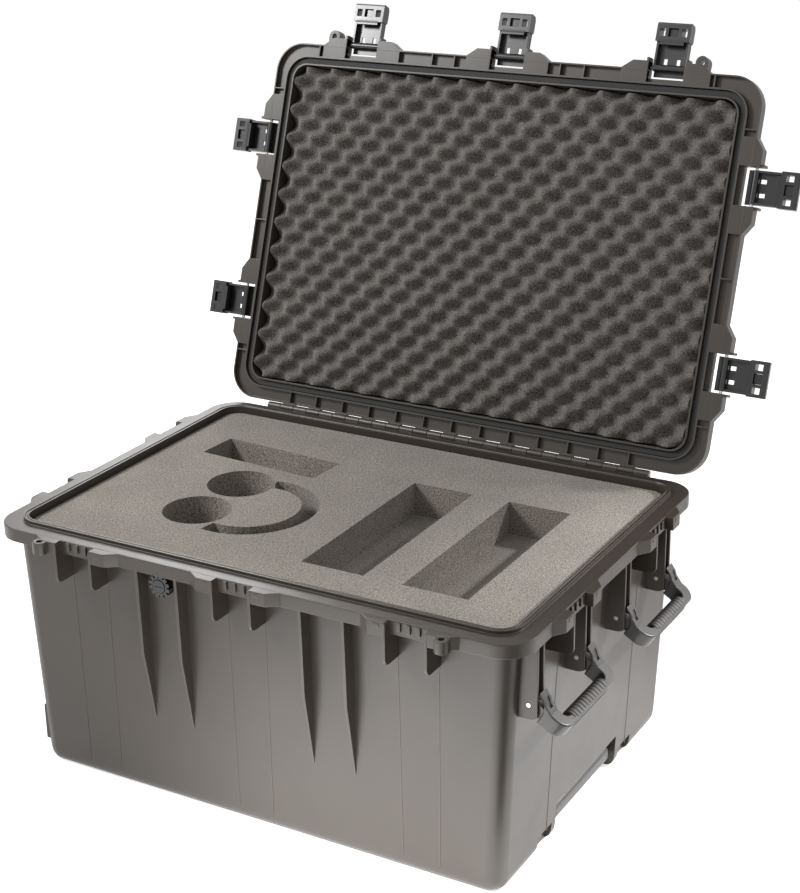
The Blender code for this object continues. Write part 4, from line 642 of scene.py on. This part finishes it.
LATCH_NOTCH = ((-0.0283, -0.020, LID_Z - 0.002), (0.0283, 0.013, LID_Z + 0.022))
lid = new_object("lid_shell_skin", skin(rounded_rings(lid_profile())))
carved(lid, [placed(block(*LATCH_NOTCH), station) for _, station, _, _ in station_frames()])
lid.data.transform(Matrix(SWING.tolist()))
finished(lid, shell_plastic, "lid", ["lid_shell"], 32)


# Trim of the lid. Its ears with the padlock eyes, the lugs that carry the latch pins, the ribs in
# its channel and its hinge knuckles, all moulded with it in the same plastic.
LID_EAR_ROOT, LUG_NEAR, LUG_FAR = 0.0207, 0.0285, 0.0325
RIB_INSET = 0.0025
FRONT_RIB_X = (-0.129, -0.090, 0.090, 0.129, -0.335, 0.335)
SIDE_RIB_Y = (0.0, -0.215, 0.215)


def lid_lugs():
    """Two mirrored blocks that stand on both sides of a latch."""
    return [block((min(s * LUG_NEAR, s * LUG_FAR), -0.0175, LID_Z + 0.002),
                  (max(s * LUG_NEAR, s * LUG_FAR), 0.0177, LID_Z + 0.0187)) for s in (-1, 1)]


def channel_ribs():
    """Thin ribs across the rim's outer channel: between latches, and one for each lid knuckle."""
    rib = block((-0.0011, -0.0012, LID_Z + 0.0004), (0.0011, 0.0182, LID_Z + 0.0095))
    spots = [shifted(x, -RIM_Y + RIB_INSET) for x in FRONT_RIB_X]
    for sign in (-1, 1):
        spots += [shifted(sign * (RIM_X - RIB_INSET), y) @ turned(sign * math.pi / 2, "Z")
                  for y in SIDE_RIB_Y]
    for k in range(1, KNUCKLES, 2):
        middle = -HINGE_LENGTH / 2 + (k + 0.5) * KNUCKLE_PITCH
        spots.append(shifted(middle, RIM_Y - RIB_INSET) @ turned(math.pi, "Z"))
    return [placed(rib, spot) for spot in spots]


trims = channel_ribs() + knuckles(1, 1)
for _, station, _, padlock in station_frames():
    parts = ear_pair(LID_EAR_ROOT, LID_Z + 0.0002, LID_Z + 0.0193) + lid_lugs()
    if padlock:
        parts.append(padlock_eye(padlock, LID_EAR_ROOT, LID_Z + 0.0008, LID_Z + 0.0187))
    trims += [placed(part, station) for part in parts]
moulded_on("lid_ears_and_ribs", [placed(joined(trims), SWING)], 0.0009, "lid")


# Gasket. A round-backed ring of black sponge rubber, pressed into the lid's inner groove, where
# the tub's tongue meets it when the lid is shut.
gasket_rubber = moulded("black_sponge_rubber", (0.016, 0.016, 0.016), 0.70, 1400.0, 0.18)
ring = rounded_rings(section([(0.3795, 0.2585, 0.0255, LID_Z + 0.0097, 0.0008),
                              (0.3795, 0.2585, 0.0255, LID_Z + 0.0050, 0.0016),
                              (0.3885, 0.2675, 0.0345, LID_Z + 0.0050, 0.0016),
                              (0.3885, 0.2675, 0.0345, LID_Z + 0.0097, 0.0008)]))
gasket = new_object("lid_gasket_ring", placed(skin(ring, capped=False, wrap_rows=True), SWING))
finished(gasket, gasket_rubber, "lid", ["lid_gasket"])


# Lid foam. One sheet of charcoal convoluted foam with staggered rounded peaks, cut by squeezing
# it between patterned rollers, so peaks and hollows have the same rounded form.
EGG_COLUMNS, EGG_ROWS = 32, 22
FOAM_X, FOAM_Y, FOAM_ROUND = 0.3736, 0.2526, 0.023
EGG_DEPTH, EGG_POWER = 0.024, 1.15
EGG_BACK, EGG_PEAK = LID_Z + 0.0547, LID_Z - 0.001


def egg_height(column, row):
    """Product of two cosines, one peak to each second crossing of a square grid, drawn up to
    narrower peaks by a power of its share between hollow and peak."""
    wave = -np.cos(np.pi * column) * np.cos(np.pi * row)
    return ((wave + 1) / 2) ** EGG_POWER


def egg_crate(samples=9):
    """Height field over the lid's cavity with straight sides and a flat back. Points beyond the
    circle that rounds a corner are drawn in to it."""
    across = np.linspace(-FOAM_X, FOAM_X, EGG_COLUMNS * samples + 1)
    along = np.linspace(-FOAM_Y, FOAM_Y, EGG_ROWS * samples + 1)
    x, y = np.meshgrid(across, along)
    column, row = (x / FOAM_X + 1) * EGG_COLUMNS / 2, (y / FOAM_Y + 1) * EGG_ROWS / 2
    z = EGG_PEAK + EGG_DEPTH * (1 - egg_height(column, row))
    over_x = np.maximum(np.abs(x) - FOAM_X + FOAM_ROUND, 0)
    over_y = np.maximum(np.abs(y) - FOAM_Y + FOAM_ROUND, 0)
    reach = np.maximum(np.hypot(over_x, over_y), FOAM_ROUND)
    x = x - np.sign(x) * over_x * (1 - FOAM_ROUND / reach)
    y = y - np.sign(y) * over_y * (1 - FOAM_ROUND / reach)
    rows, columns = x.shape
    face = np.stack((x, y, z), -1).reshape(-1, 3)
    sheet = grid_faces(rows, columns, wrap_columns=False).tolist()
    edge = np.concatenate((np.arange(columns), np.arange(1, rows) * columns + columns - 1,
                           (rows - 1) * columns + np.arange(columns - 2, -1, -1),
                           np.arange(rows - 2, 0, -1) * columns))
    rim = face[edge].copy()
    rim[:, 2] = EGG_BACK
    start = len(face)
    follow = np.roll(np.arange(len(edge)), -1)
    sides = np.stack((edge, edge[follow], start + follow, start + np.arange(len(edge))), -1)
    faces = sheet + sides.tolist() + [list(range(start, start + len(edge)))]
    return np.concatenate((face, rim)), faces


lid_foam_finish = open_foam("charcoal_convoluted_foam", (0.175, 0.155, 0.138),
                            (0.030, 0.026, 0.024), 480.0, 0.5, 0.30)
crate = new_object("lid_egg_crate_foam", placed(egg_crate(), SWING))
finished(crate, lid_foam_finish, "lid", ["lid_foam"], 60)


# Draw latches. A glossy near-black lever on a steel pin between the lid's lugs: a ribbed plate
# with side rails, a thick capped end with the hook behind it, windows, and a sprung button.
latch_plastic = moulded("gloss_black_plastic", (0.010, 0.0095, 0.009), 0.29, 700.0, 0.03, 0.05, 0.6)
button_plastic = moulded("dark_button_plastic", (0.018, 0.018, 0.018), 0.26, 700.0, 0.03, 0.05)
LATCH_OPEN = math.radians(92)
PLATE = ((-0.025, 0.0125), (0.025, 0.0125), (0.025, -0.045), (-0.025, -0.045))
RAIL_NEAR, RAIL_FAR, BARREL_RADIUS = 0.0248, 0.0215, 0.0052
CAP = ((0.0072, -0.0635), (0.0072, -0.0385), (-0.006, -0.0385), (-0.0095, -0.0385),
       (-0.0105, -0.0425), (-0.0105, -0.0595), (-0.0075, -0.0650), (0.0042, -0.0665))
HOOK = ((0.0085, -0.0335), (0.0085, -0.0373), (0.0072, -0.0400), (0.003, -0.0400),
        (0.003, -0.0335))
CAP_MIDDLE = -(0.0385 + 0.0635) / 2 - 0.00075
LATCH_FRONT, CAP_BACK = -0.0125, 0.0105
DENT_DEPTH, DENT_HEIGHT = (-0.0098, -0.0084), (-0.034, -0.0195)


def drawn_metal(name, colour, roughness, stretch=(40.0, 1200.0, 1200.0)):
    """Drawn metal: noise stretched along the draw direction, as scratches in its tone and
    roughness."""
    made, shader, place, node, links = surface(name, {"Metallic": 1.0})
    drawn = node("ShaderNodeMapping", {"Vector": place, "Scale": stretch}).outputs["Vector"]
    scratch = noise(node, drawn, 1.0, 3.0)
    tone = blended(node, scratch, [c * 0.8 for c in colour], colour)
    links.new(tone, shader.inputs["Base Color"])
    rough = ranged(node, scratch, 0.0, 1.0, roughness - 0.08, roughness + 0.12)
    links.new(rough, shader.inputs["Roughness"])
    return made


pin_steel = drawn_metal("drawn_pin_steel", (0.60, 0.59, 0.57), 0.30)


def window(x, half, depth, height):
    """A block round x that spans two depths, front and back, and two heights."""
    return block((x - half, depth[0], height[0]), (x + half, depth[1], height[1]))


def latch_lever():
    """The lever shut, pivot at the origin, hanging down -Z, its outside facing -Y."""
    lever = new_object("lever", extruded(PLATE, "Y", -0.009, -0.006))
    rails = [block((min(s * RAIL_NEAR, s * RAIL_FAR), -0.0078, -0.040),
                   (max(s * RAIL_NEAR, s * RAIL_FAR), 0.003, -0.0026)) for s in (-1, 1)]
    barrel = np.concatenate(([(-0.0075, BARREL_RADIUS)],
                             arc((0, 0), BARREL_RADIUS, math.pi / 2, -math.pi / 2, 14),
                             [(-0.0075, -BARREL_RADIUS)]))
    carved(lever, rails + [extruded(barrel, "X", -0.0244, 0.0244),
                           extruded(CAP, "X", -0.0265, 0.0265),
                           extruded(HOOK, "X", -0.019, 0.019)], "UNION")
    through, cuts = (LATCH_FRONT, CAP_BACK), []
    for s in (-1, 1):
        cuts += [window(s * 0.010, 0.003, (LATCH_FRONT, -0.004), (-0.0151, -0.0066)),
                 window(s * 0.017, 0.0045, through, (CAP_MIDDLE - 0.0057, CAP_MIDDLE + 0.0057)),
                 window(s * 0.017, 0.0028, DENT_DEPTH, DENT_HEIGHT)]
    cuts += [window(0, 0.0078, through, (CAP_MIDDLE - 0.0063, CAP_MIDDLE + 0.0063)),
             window(0, 0.0095, DENT_DEPTH, DENT_HEIGHT), rod("X", (0, 0), 0.0028, -0.030, 0.030)]
    carved(lever, cuts)
    return rounded_edges(lever, 0.0005, 2, 30)


def copied(source, name, matrix):
    """A copy of a finished mesh, carried by the matrix into its own place."""
    made = bpy.data.objects.new(name, source.data.copy())
    bpy.context.collection.objects.link(made)
    made.data.transform(Matrix(matrix.tolist()))
    return made


lever = latch_lever()
press = window(0, 0.0075, (-0.0117, 0.0030), (CAP_MIDDLE - 0.006, CAP_MIDDLE + 0.006))
button = rounded_edges(new_object("button", press), 0.0008, 3)
pin = rounded_edges(new_object("pin", rod("X", (0, 0), 0.0025, -0.0338, 0.0338)), 0.0003)
for name, station, _, _ in station_frames():
    pivot = SWING @ station @ shifted(0, -0.004, LID_Z + 0.013)
    opened = pivot @ turned(-LATCH_OPEN, "X")
    finished(copied(lever, f"latch_lever_{name}", opened), latch_plastic, f"latch_{name}",
             [f"latch_body_{name}"])
    finished(copied(button, f"latch_push_{name}", opened), button_plastic, f"button_{name}",
             [f"latch_button_{name}"])
    finished(copied(pin, f"latch_pivot_{name}", pivot), pin_steel, "lid",
             [f"latch_pin_{name}"])
for made in (lever, button, pin):
    bpy.data.objects.remove(made, do_unlink=True)


# Carry handles. Four U-shaped mouldings, each on two steel pins, with a ribbed soft grip moulded
# round the cross bar. The arms narrow to tongues that sit between the bracket's walls. The two on
# the right are propped out and the two on the left hang.
handle_plastic = moulded("satin_handle_plastic", (0.045, 0.040, 0.037), 0.33, 900.0, 0.08)
grip_rubber = moulded("ribbed_soft_grip", (0.040, 0.036, 0.033), 0.55, 1300.0, 0.2)
HANDLE_OUT, HEAD_LEAN = math.radians(56), math.radians(-41)
ARM_TOP, BAR_LOW, BAR_TOP, ARM_HALF = -0.0216, -0.056, -0.0445, 0.0115
OUTER_ROUND, INNER_ROUND, TONGUE_RADIUS = 0.019, 0.010, 0.008


def arm_head(y):
    """Top of one arm, hollowed round the bracket's end, with a tip that reaches up in front."""
    inner = arc((0, 0), 0.0206, -math.pi / 2, math.radians(-8), 16)
    bend = arc((0, 0), 0.0238, math.radians(-30), math.radians(-48), 3)
    tip = [(0.0250 * math.cos(math.radians(-3)), 0.0250 * math.sin(math.radians(-3)))]
    outline = np.concatenate(([(-ARM_HALF, -0.0206)], inner, tip, bend,
                              [(ARM_HALF, -0.030), (-ARM_HALF, -0.030)]))
    return extruded(outline, "Y", y - ARM_WIDTH / 2, y + ARM_WIDTH / 2)


def handle_moulding():
    """The U hanging down -Z from its pivot axis Y, +X away from the case."""
    top, half, inner = ARM_TOP, HANDLE_WIDTH / 2, HANDLE_WIDTH / 2 - ARM_WIDTH
    outer_y, outer_z = half - OUTER_ROUND, BAR_LOW + OUTER_ROUND
    inner_y, inner_z = inner - INNER_ROUND, BAR_TOP + INNER_ROUND
    outline = np.concatenate((
        [(-half, top)], arc((-outer_y, outer_z), OUTER_ROUND, math.pi, 1.5 * math.pi, 10),
        arc((outer_y, outer_z), OUTER_ROUND, 1.5 * math.pi, math.tau, 10),
        [(half, top), (inner, top)], arc((inner_y, inner_z), INNER_ROUND, 0, -math.pi / 2, 8),
        arc((-inner_y, inner_z), INNER_ROUND, 1.5 * math.pi, math.pi, 8), [(-inner, top)]))
    solid = new_object("handle", extruded(outline, "X", -ARM_HALF, ARM_HALF))
    rounded_edges(solid, 0.0024, 3, 40)
    middles = (-RAIL_REACH, RAIL_REACH)
    heads = new_object("heads", joined([arm_head(y) for y in middles]))
    rounded_edges(heads, 0.0016, 3, 30)
    points = np.empty(len(heads.data.vertices) * 3)
    heads.data.vertices.foreach_get("co", points)
    faces = [list(face.vertices) for face in heads.data.polygons]
    bpy.data.objects.remove(heads, do_unlink=True)
    tongue = np.concatenate(([(TONGUE_RADIUS, -0.0247)], arc((0, 0), TONGUE_RADIUS, 0, math.pi, 16),
                             [(-TONGUE_RADIUS, -0.0247)]))
    carved(solid, [(points.reshape(-1, 3), faces)]
           + [extruded(tongue, "Y", y - 0.0056, y + 0.0056) for y in middles], "UNION")
    cuts = [placed(block((-0.0055, -0.00425, -0.008), (0.0055, 0.00425, 0.008)),
                   shifted(0.028 * math.cos(HEAD_LEAN), y, 0.028 * math.sin(HEAD_LEAN))
                   @ turned(math.radians(36), "Y")) for y in middles]
    cuts += [rod("Y", (0, 0), 0.0033, y - 0.008, y + 0.008) for y in middles]
    carved(solid, cuts)
    return rounded_edges(solid, 0.0005, 1, 60)


def ribbed_grip(ribs=13, length=0.100):
    """Sleeve along Y round the cross bar: a rounded rectangle, as a circle's cosine and sine
    raised to a small power, whose size falls once a rib by a flattened sine and at both ends."""
    y = np.linspace(-length / 2, length / 2, ribs * 12 + 1)
    wave = np.clip(1.6 * np.cos(math.tau * ribs * y / length), -1, 1)
    sink = 0.0006 * (1 + wave)
    closing = np.clip(1 - (length / 2 - np.abs(y)) / 0.003, 0, 1)
    sink = np.maximum(sink, 0.0022 * closing ** 2)[:, None]
    angle = np.linspace(0, math.tau, 33)[:-1]
    turn, rise = np.cos(angle), np.sin(angle)
    x = (0.0132 - sink) * np.sign(turn) * np.abs(turn) ** 0.75
    z = -0.0470 + (0.0106 - sink) * np.sign(rise) * np.abs(rise) ** 0.75
    return skin(np.stack(np.broadcast_arrays(x, y[:, None], z), -1))


handle, grip = handle_moulding(), new_object("grip", ribbed_grip())
pin = rounded_edges(new_object("pin", rod("Y", (0, 0), 0.003, -0.0105, 0.0105)), 0.0004)
for word, sign in (("right", 1), ("left", -1)):
    for y in HANDLE_Y:
        name = f"{word}_{'front' if sign * y < 0 else 'back'}"
        stand = shifted(sign * PIVOT_X, sign * y, PIVOT_Z) @ turned(0 if sign > 0 else math.pi, "Z")
        propped = stand @ turned(-HANDLE_OUT if sign > 0 else 0, "Y")
        finished(copied(handle, f"handle_bow_{name}", propped), handle_plastic, f"handle_{name}",
                 [f"carry_handle_{name}"])
        finished(copied(grip, f"handle_pad_{name}", propped), grip_rubber, f"handle_{name}",
                 [f"handle_grip_{name}"], 50)
        for letter, reach in (("a", -RAIL_REACH), ("b", RAIL_REACH)):
            finished(copied(pin, f"handle_rivet_{name}_{letter}", stand @ shifted(0, reach, 0)),
                     pin_steel, "base", [f"handle_pin_{name}_{letter}"])
for made in (handle, grip, pin):
    bpy.data.objects.remove(made, do_unlink=True)


# Hinge rod. One long drawn steel rod, pushed through all the knuckles of tub and lid in turn and
# held in the tub's.
hinge_rod = new_object("hinge_rod_bar", rod("X", (HINGE_Y, HINGE_Z), 0.002, -0.3325, 0.3325))
finished(rounded_edges(hinge_rod, 0.0003), pin_steel, "base", ["hinge_rod"])


# Pressure valve. A round notched housing of the latches' plastic, screwed into the front wall
# below the rim, with a slotted push-in cap.
VALVE = (-0.130, 0.336)
VALVE_NOTCHES, NOTCH_RADIUS, VALVE_RADIUS = 12, 0.013, 0.017


def valve_body():
    """Disc whose edge drops into twelve square notches: each takes two points on the inner
    circle and two on the outer."""
    k = np.arange(VALVE_NOTCHES)[:, None]
    notch, pitch = 0.0015 / VALVE_RADIUS, math.tau / VALVE_NOTCHES
    angle = math.tau * k / VALVE_NOTCHES + np.array((-notch, notch, notch, pitch - notch))
    radius = np.broadcast_to((NOTCH_RADIUS, NOTCH_RADIUS, VALVE_RADIUS, VALVE_RADIUS), angle.shape)
    x, z = (radius * np.cos(angle)).ravel(), (radius * np.sin(angle)).ravel()
    return extruded(np.stack((x + VALVE[0], z + VALVE[1]), -1), "Y", -0.2808, -0.268)


valve = new_object("valve_notched_body", valve_body())
carved(valve, [rod("Y", VALVE, 0.0103, -0.290, -0.2748, 48)])
finished(rounded_edges(valve, 0.0006, 2, 50), latch_plastic, "base",
         ["valve_housing"])
cap = new_object("valve_cap_disc", rod("Y", VALVE, 0.0095, -0.2816, -0.2751, 48))
carved(cap, [block((VALVE[0] - 0.0065, -0.290, VALVE[1] - 0.0009),
                   (VALVE[0] + 0.0065, -0.2806, VALVE[1] + 0.0009))])
finished(rounded_edges(cap, 0.0006), button_plastic, "base", ["valve_vent_cap"])


# Pull handle. A moulded bar across the right end on two drawn aluminium tubes that run in black
# sleeves under the floor. It slides out to the right.
tube_metal = drawn_metal("drawn_aluminium", (0.56, 0.56, 0.57), 0.36)
BAR_ROUND, TUBE_RADIUS, TUBE_Z, TUBE_SIDES = 0.0080, 0.008, 0.0192, 40
SLEEVE = ((0.0083, -0.1291), (0.0105, -0.1291), (0.0105, 0.3209), (0.0083, 0.3209))


def spun(profile, centre, axis, sides):
    """A closed profile of (radius, distance) spun round the X or Y direction through a centre:
    the radius times a cosine and a sine across the axis, the distance along it."""
    radius, along = (np.asarray(profile)[:, k, None] for k in range(2))
    angle = np.linspace(0, math.tau, sides, endpoint=False)[None, :]
    parts = [radius * np.cos(angle), radius * np.sin(angle)]
    parts.insert("XY".index(axis), along)
    grid = np.stack(np.broadcast_arrays(*parts), -1) + centre
    return skin(grid, capped=False, wrap_rows=True)


bar = new_object("pull_bar", block((0.3509, -0.093, 0.014), (0.3674, 0.093, 0.038)))
finished(rounded_edges(bar, BAR_ROUND, 8), handle_plastic, "pull_handle",
         ["pull_handle_bar"])
for end, y in (("front", -0.080), ("back", 0.080)):
    runner = rod("X", (y, TUBE_Z), TUBE_RADIUS, -0.0994, 0.3506, TUBE_SIDES)
    finished(rounded_edges(new_object(f"pull_runner_{end}", runner), 0.0006), tube_metal,
             "pull_handle", [f"pull_tube_{end}"])
    sleeve = spun(SLEEVE, (0, y, TUBE_Z), "X", TUBE_SIDES)
    finished(new_object(f"runner_sleeve_{end}", sleeve), latch_plastic, "base",
             [f"tube_sleeve_{end}"])


# Wheels. A grey-brown rubber tyre on a black hub with a steel axle, sunk in each bottom corner of
# the left end, so that they touch the floor only when the case is tipped.
tyre_rubber = moulded("grey_brown_tyre_rubber", (0.060, 0.052, 0.046), 0.62, 1000.0, 0.25)
WHEEL_X, WHEEL_Z, WHEEL_SIDES = -0.35686, 0.0445, 56
AXLE_RADIUS, AXLE_HALF = 0.004, 0.0243
tread = eased([(0.0208, -0.015), (0.026, -0.015), (0.0292, -0.011), (0.030, 0.0),
               (0.0292, 0.011), (0.026, 0.015), (0.0208, 0.015)],
              (0.0008, 0.002, 0.002, 0.006, 0.002, 0.002, 0.0008), 4)
hub = eased([(0.0043, -0.0177), (0.0105, -0.0177), (0.0124, -0.015), (0.0175, -0.0132),
             (0.0205, -0.015), (0.0205, 0.015), (0.0175, 0.0132), (0.0124, 0.015),
             (0.0105, 0.0177), (0.0043, 0.0177)], [0.0006] * 10, 2)
for end, y in zip(("front", "back"), WHEEL_Y):
    centre = (WHEEL_X, y, WHEEL_Z)
    tyre, core = (spun(profile, centre, "Y", WHEEL_SIDES) for profile in (tread, hub))
    finished(new_object(f"wheel_tread_{end}", tyre), tyre_rubber,
             f"wheel_{end}", [f"wheel_tyre_{end}"])
    finished(new_object(f"wheel_core_{end}", core), latch_plastic,
             f"wheel_{end}", [f"wheel_hub_{end}"])
    spindle = rod("Y", (WHEEL_X, WHEEL_Z), AXLE_RADIUS, y - AXLE_HALF, y + AXLE_HALF)
    finished(rounded_edges(new_object(f"wheel_spindle_{end}", spindle), 0.0004), pin_steel, "base",
             [f"wheel_axle_{end}"])


# Studio. A white floor and background, an even soft sky, softboxes at the upper left and behind,
# and two spots whose bright pools on the floor the walls mirror as a sheen. A black card on the
# floor, seen only in reflections, paints a dark reflection on the near corner. The camera stands
# where the photograph's did.
SKY_LIGHT, FLOOR_GLOW, FLOOR_REACH = 0.40, 0.65, 9
WHITE = (1, 1, 1, 1)


def seen_directly(nodes, links):
    """1 for rays from the camera, from a glossy surface or through a clear one, else 0."""
    rays, either = nodes.new("ShaderNodeLightPath"), nodes.new("ShaderNodeMath")
    every = nodes.new("ShaderNodeMath")
    either.operation = every.operation = "MAXIMUM"
    links.new(rays.outputs["Is Camera Ray"], either.inputs[0])
    links.new(rays.outputs["Is Glossy Ray"], either.inputs[1])
    links.new(either.outputs[0], every.inputs[0])
    links.new(rays.outputs["Is Transmission Ray"], every.inputs[1])
    return every.outputs[0]


floor_finish, shader, _, node, links = surface("pale_floor", {
    "Base Color": (0.85, 0.85, 0.85, 1), "Roughness": 0.9, "Emission Color": WHITE})
direct = seen_directly(floor_finish.node_tree.nodes, links)
glow = node("ShaderNodeMath", {0: direct, 1: FLOOR_GLOW}, operation="MULTIPLY")
links.new(glow.outputs[0], shader.inputs["Emission Strength"])
floor_corners = np.array([(-1, -1, 0), (1, -1, 0), (1, 1, 0), (-1, 1, 0)]) * FLOOR_REACH
floor = new_object("studio_floor", (floor_corners, [[0, 1, 2, 3]]))
floor.data.materials.append(floor_finish)
world = bpy.data.worlds.new("studio")
world.use_nodes = True
bpy.context.scene.world = world
nodes, links = world.node_tree.nodes, world.node_tree.links
sky, plain = nodes["Background"], nodes.new("ShaderNodeBackground")
for backdrop, strength in ((sky, SKY_LIGHT), (plain, 1.0)):
    backdrop.inputs["Color"].default_value = WHITE
    backdrop.inputs["Strength"].default_value = strength
choose = nodes.new("ShaderNodeMixShader")
links.new(seen_directly(nodes, links), choose.inputs[0])
links.new(sky.outputs[0], choose.inputs[1])
links.new(plain.outputs[0], choose.inputs[2])
links.new(choose.outputs[0], nodes["World Output"].inputs["Surface"])


def direction_frame(ahead):
    """Rotation whose -Z points ahead and whose X stays level."""
    right = np.cross(ahead, (0, 0, 1))
    right = right / np.linalg.norm(right)
    return np.column_stack((right, np.cross(right, ahead), -ahead)).tolist()


def hung(name, kind, place, aim, power):
    """A lamp of this kind at a place, turned so that its -Z points at its aim."""
    light = bpy.data.lights.new(name, kind)
    light.energy = power
    made = bpy.data.objects.new(name, light)
    bpy.context.collection.objects.link(made)
    direction = np.subtract(aim, place)
    facing = Matrix(direction_frame(direction / np.linalg.norm(direction)))
    made.matrix_world = Matrix.Translation(place) @ facing.to_4x4()
    return light


POOL_SPREAD, POOL_SOFTNESS = math.radians(22), 0.12
left_pool = hung("left_pool", "SPOT", (-1.0, -1.9, 2.0), (0.14, -0.62, 0), 1300)
right_pool = hung("right_pool", "SPOT", (2.1, 1.5, 1.8), (0.48, -0.05, 0), 600)
for pool in (left_pool, right_pool):
    pool.spot_size, pool.spot_blend, pool.shadow_soft_size = POOL_SPREAD, 1.0, POOL_SOFTNESS
softbox = hung("left_softbox", "AREA", (-1.9, -1.3, 2.4), (-0.1, 0.1, 0.5), 66)
softbox.shape, softbox.size = "SQUARE", 0.7
rim_light = hung("rim_softbox", "AREA", (-1.8, 2.3, 2.0), (-0.1, 0, 0.37), 34)
rim_light.shape, rim_light.size = "SQUARE", 1.2
# Painted dark reflection: a black card laid on the floor, hidden from the camera, from shadows and
# from diffuse light, so that only reflections see it. It darkens the near corner.
dark_reflection_card_finish = surface("painted_dark_reflection_card", {"Base Color": (0.01, 0.01, 0.01, 1), "Roughness": 1.0})[0]
dark_reflection_card_corners = [(0.44, -0.38, 0.001), (0.80, -1.05, 0.001), (1.35, -0.40, 0.001),
                (0.53, -0.28, 0.001)]
dark_reflection_card = new_object("painted_dark_reflection_card", (dark_reflection_card_corners, [[0, 1, 2, 3]]))
dark_reflection_card.data.materials.append(dark_reflection_card_finish)
dark_reflection_card.visible_camera = dark_reflection_card.visible_shadow = dark_reflection_card.visible_diffuse = False
camera = bpy.data.objects.new("camera", bpy.data.cameras.new("camera"))
bpy.context.collection.objects.link(camera)
camera.location = (1.2573, -2.0416, 1.3875)
camera.rotation_euler = tuple(math.radians(angle) for angle in (68.87, 0.90, 29.56))
camera.data.sensor_width, camera.data.lens = 36.0, 1836 / 893 * 36
bpy.context.scene.camera = camera
bpy.context.scene.view_settings.view_transform = "Standard"
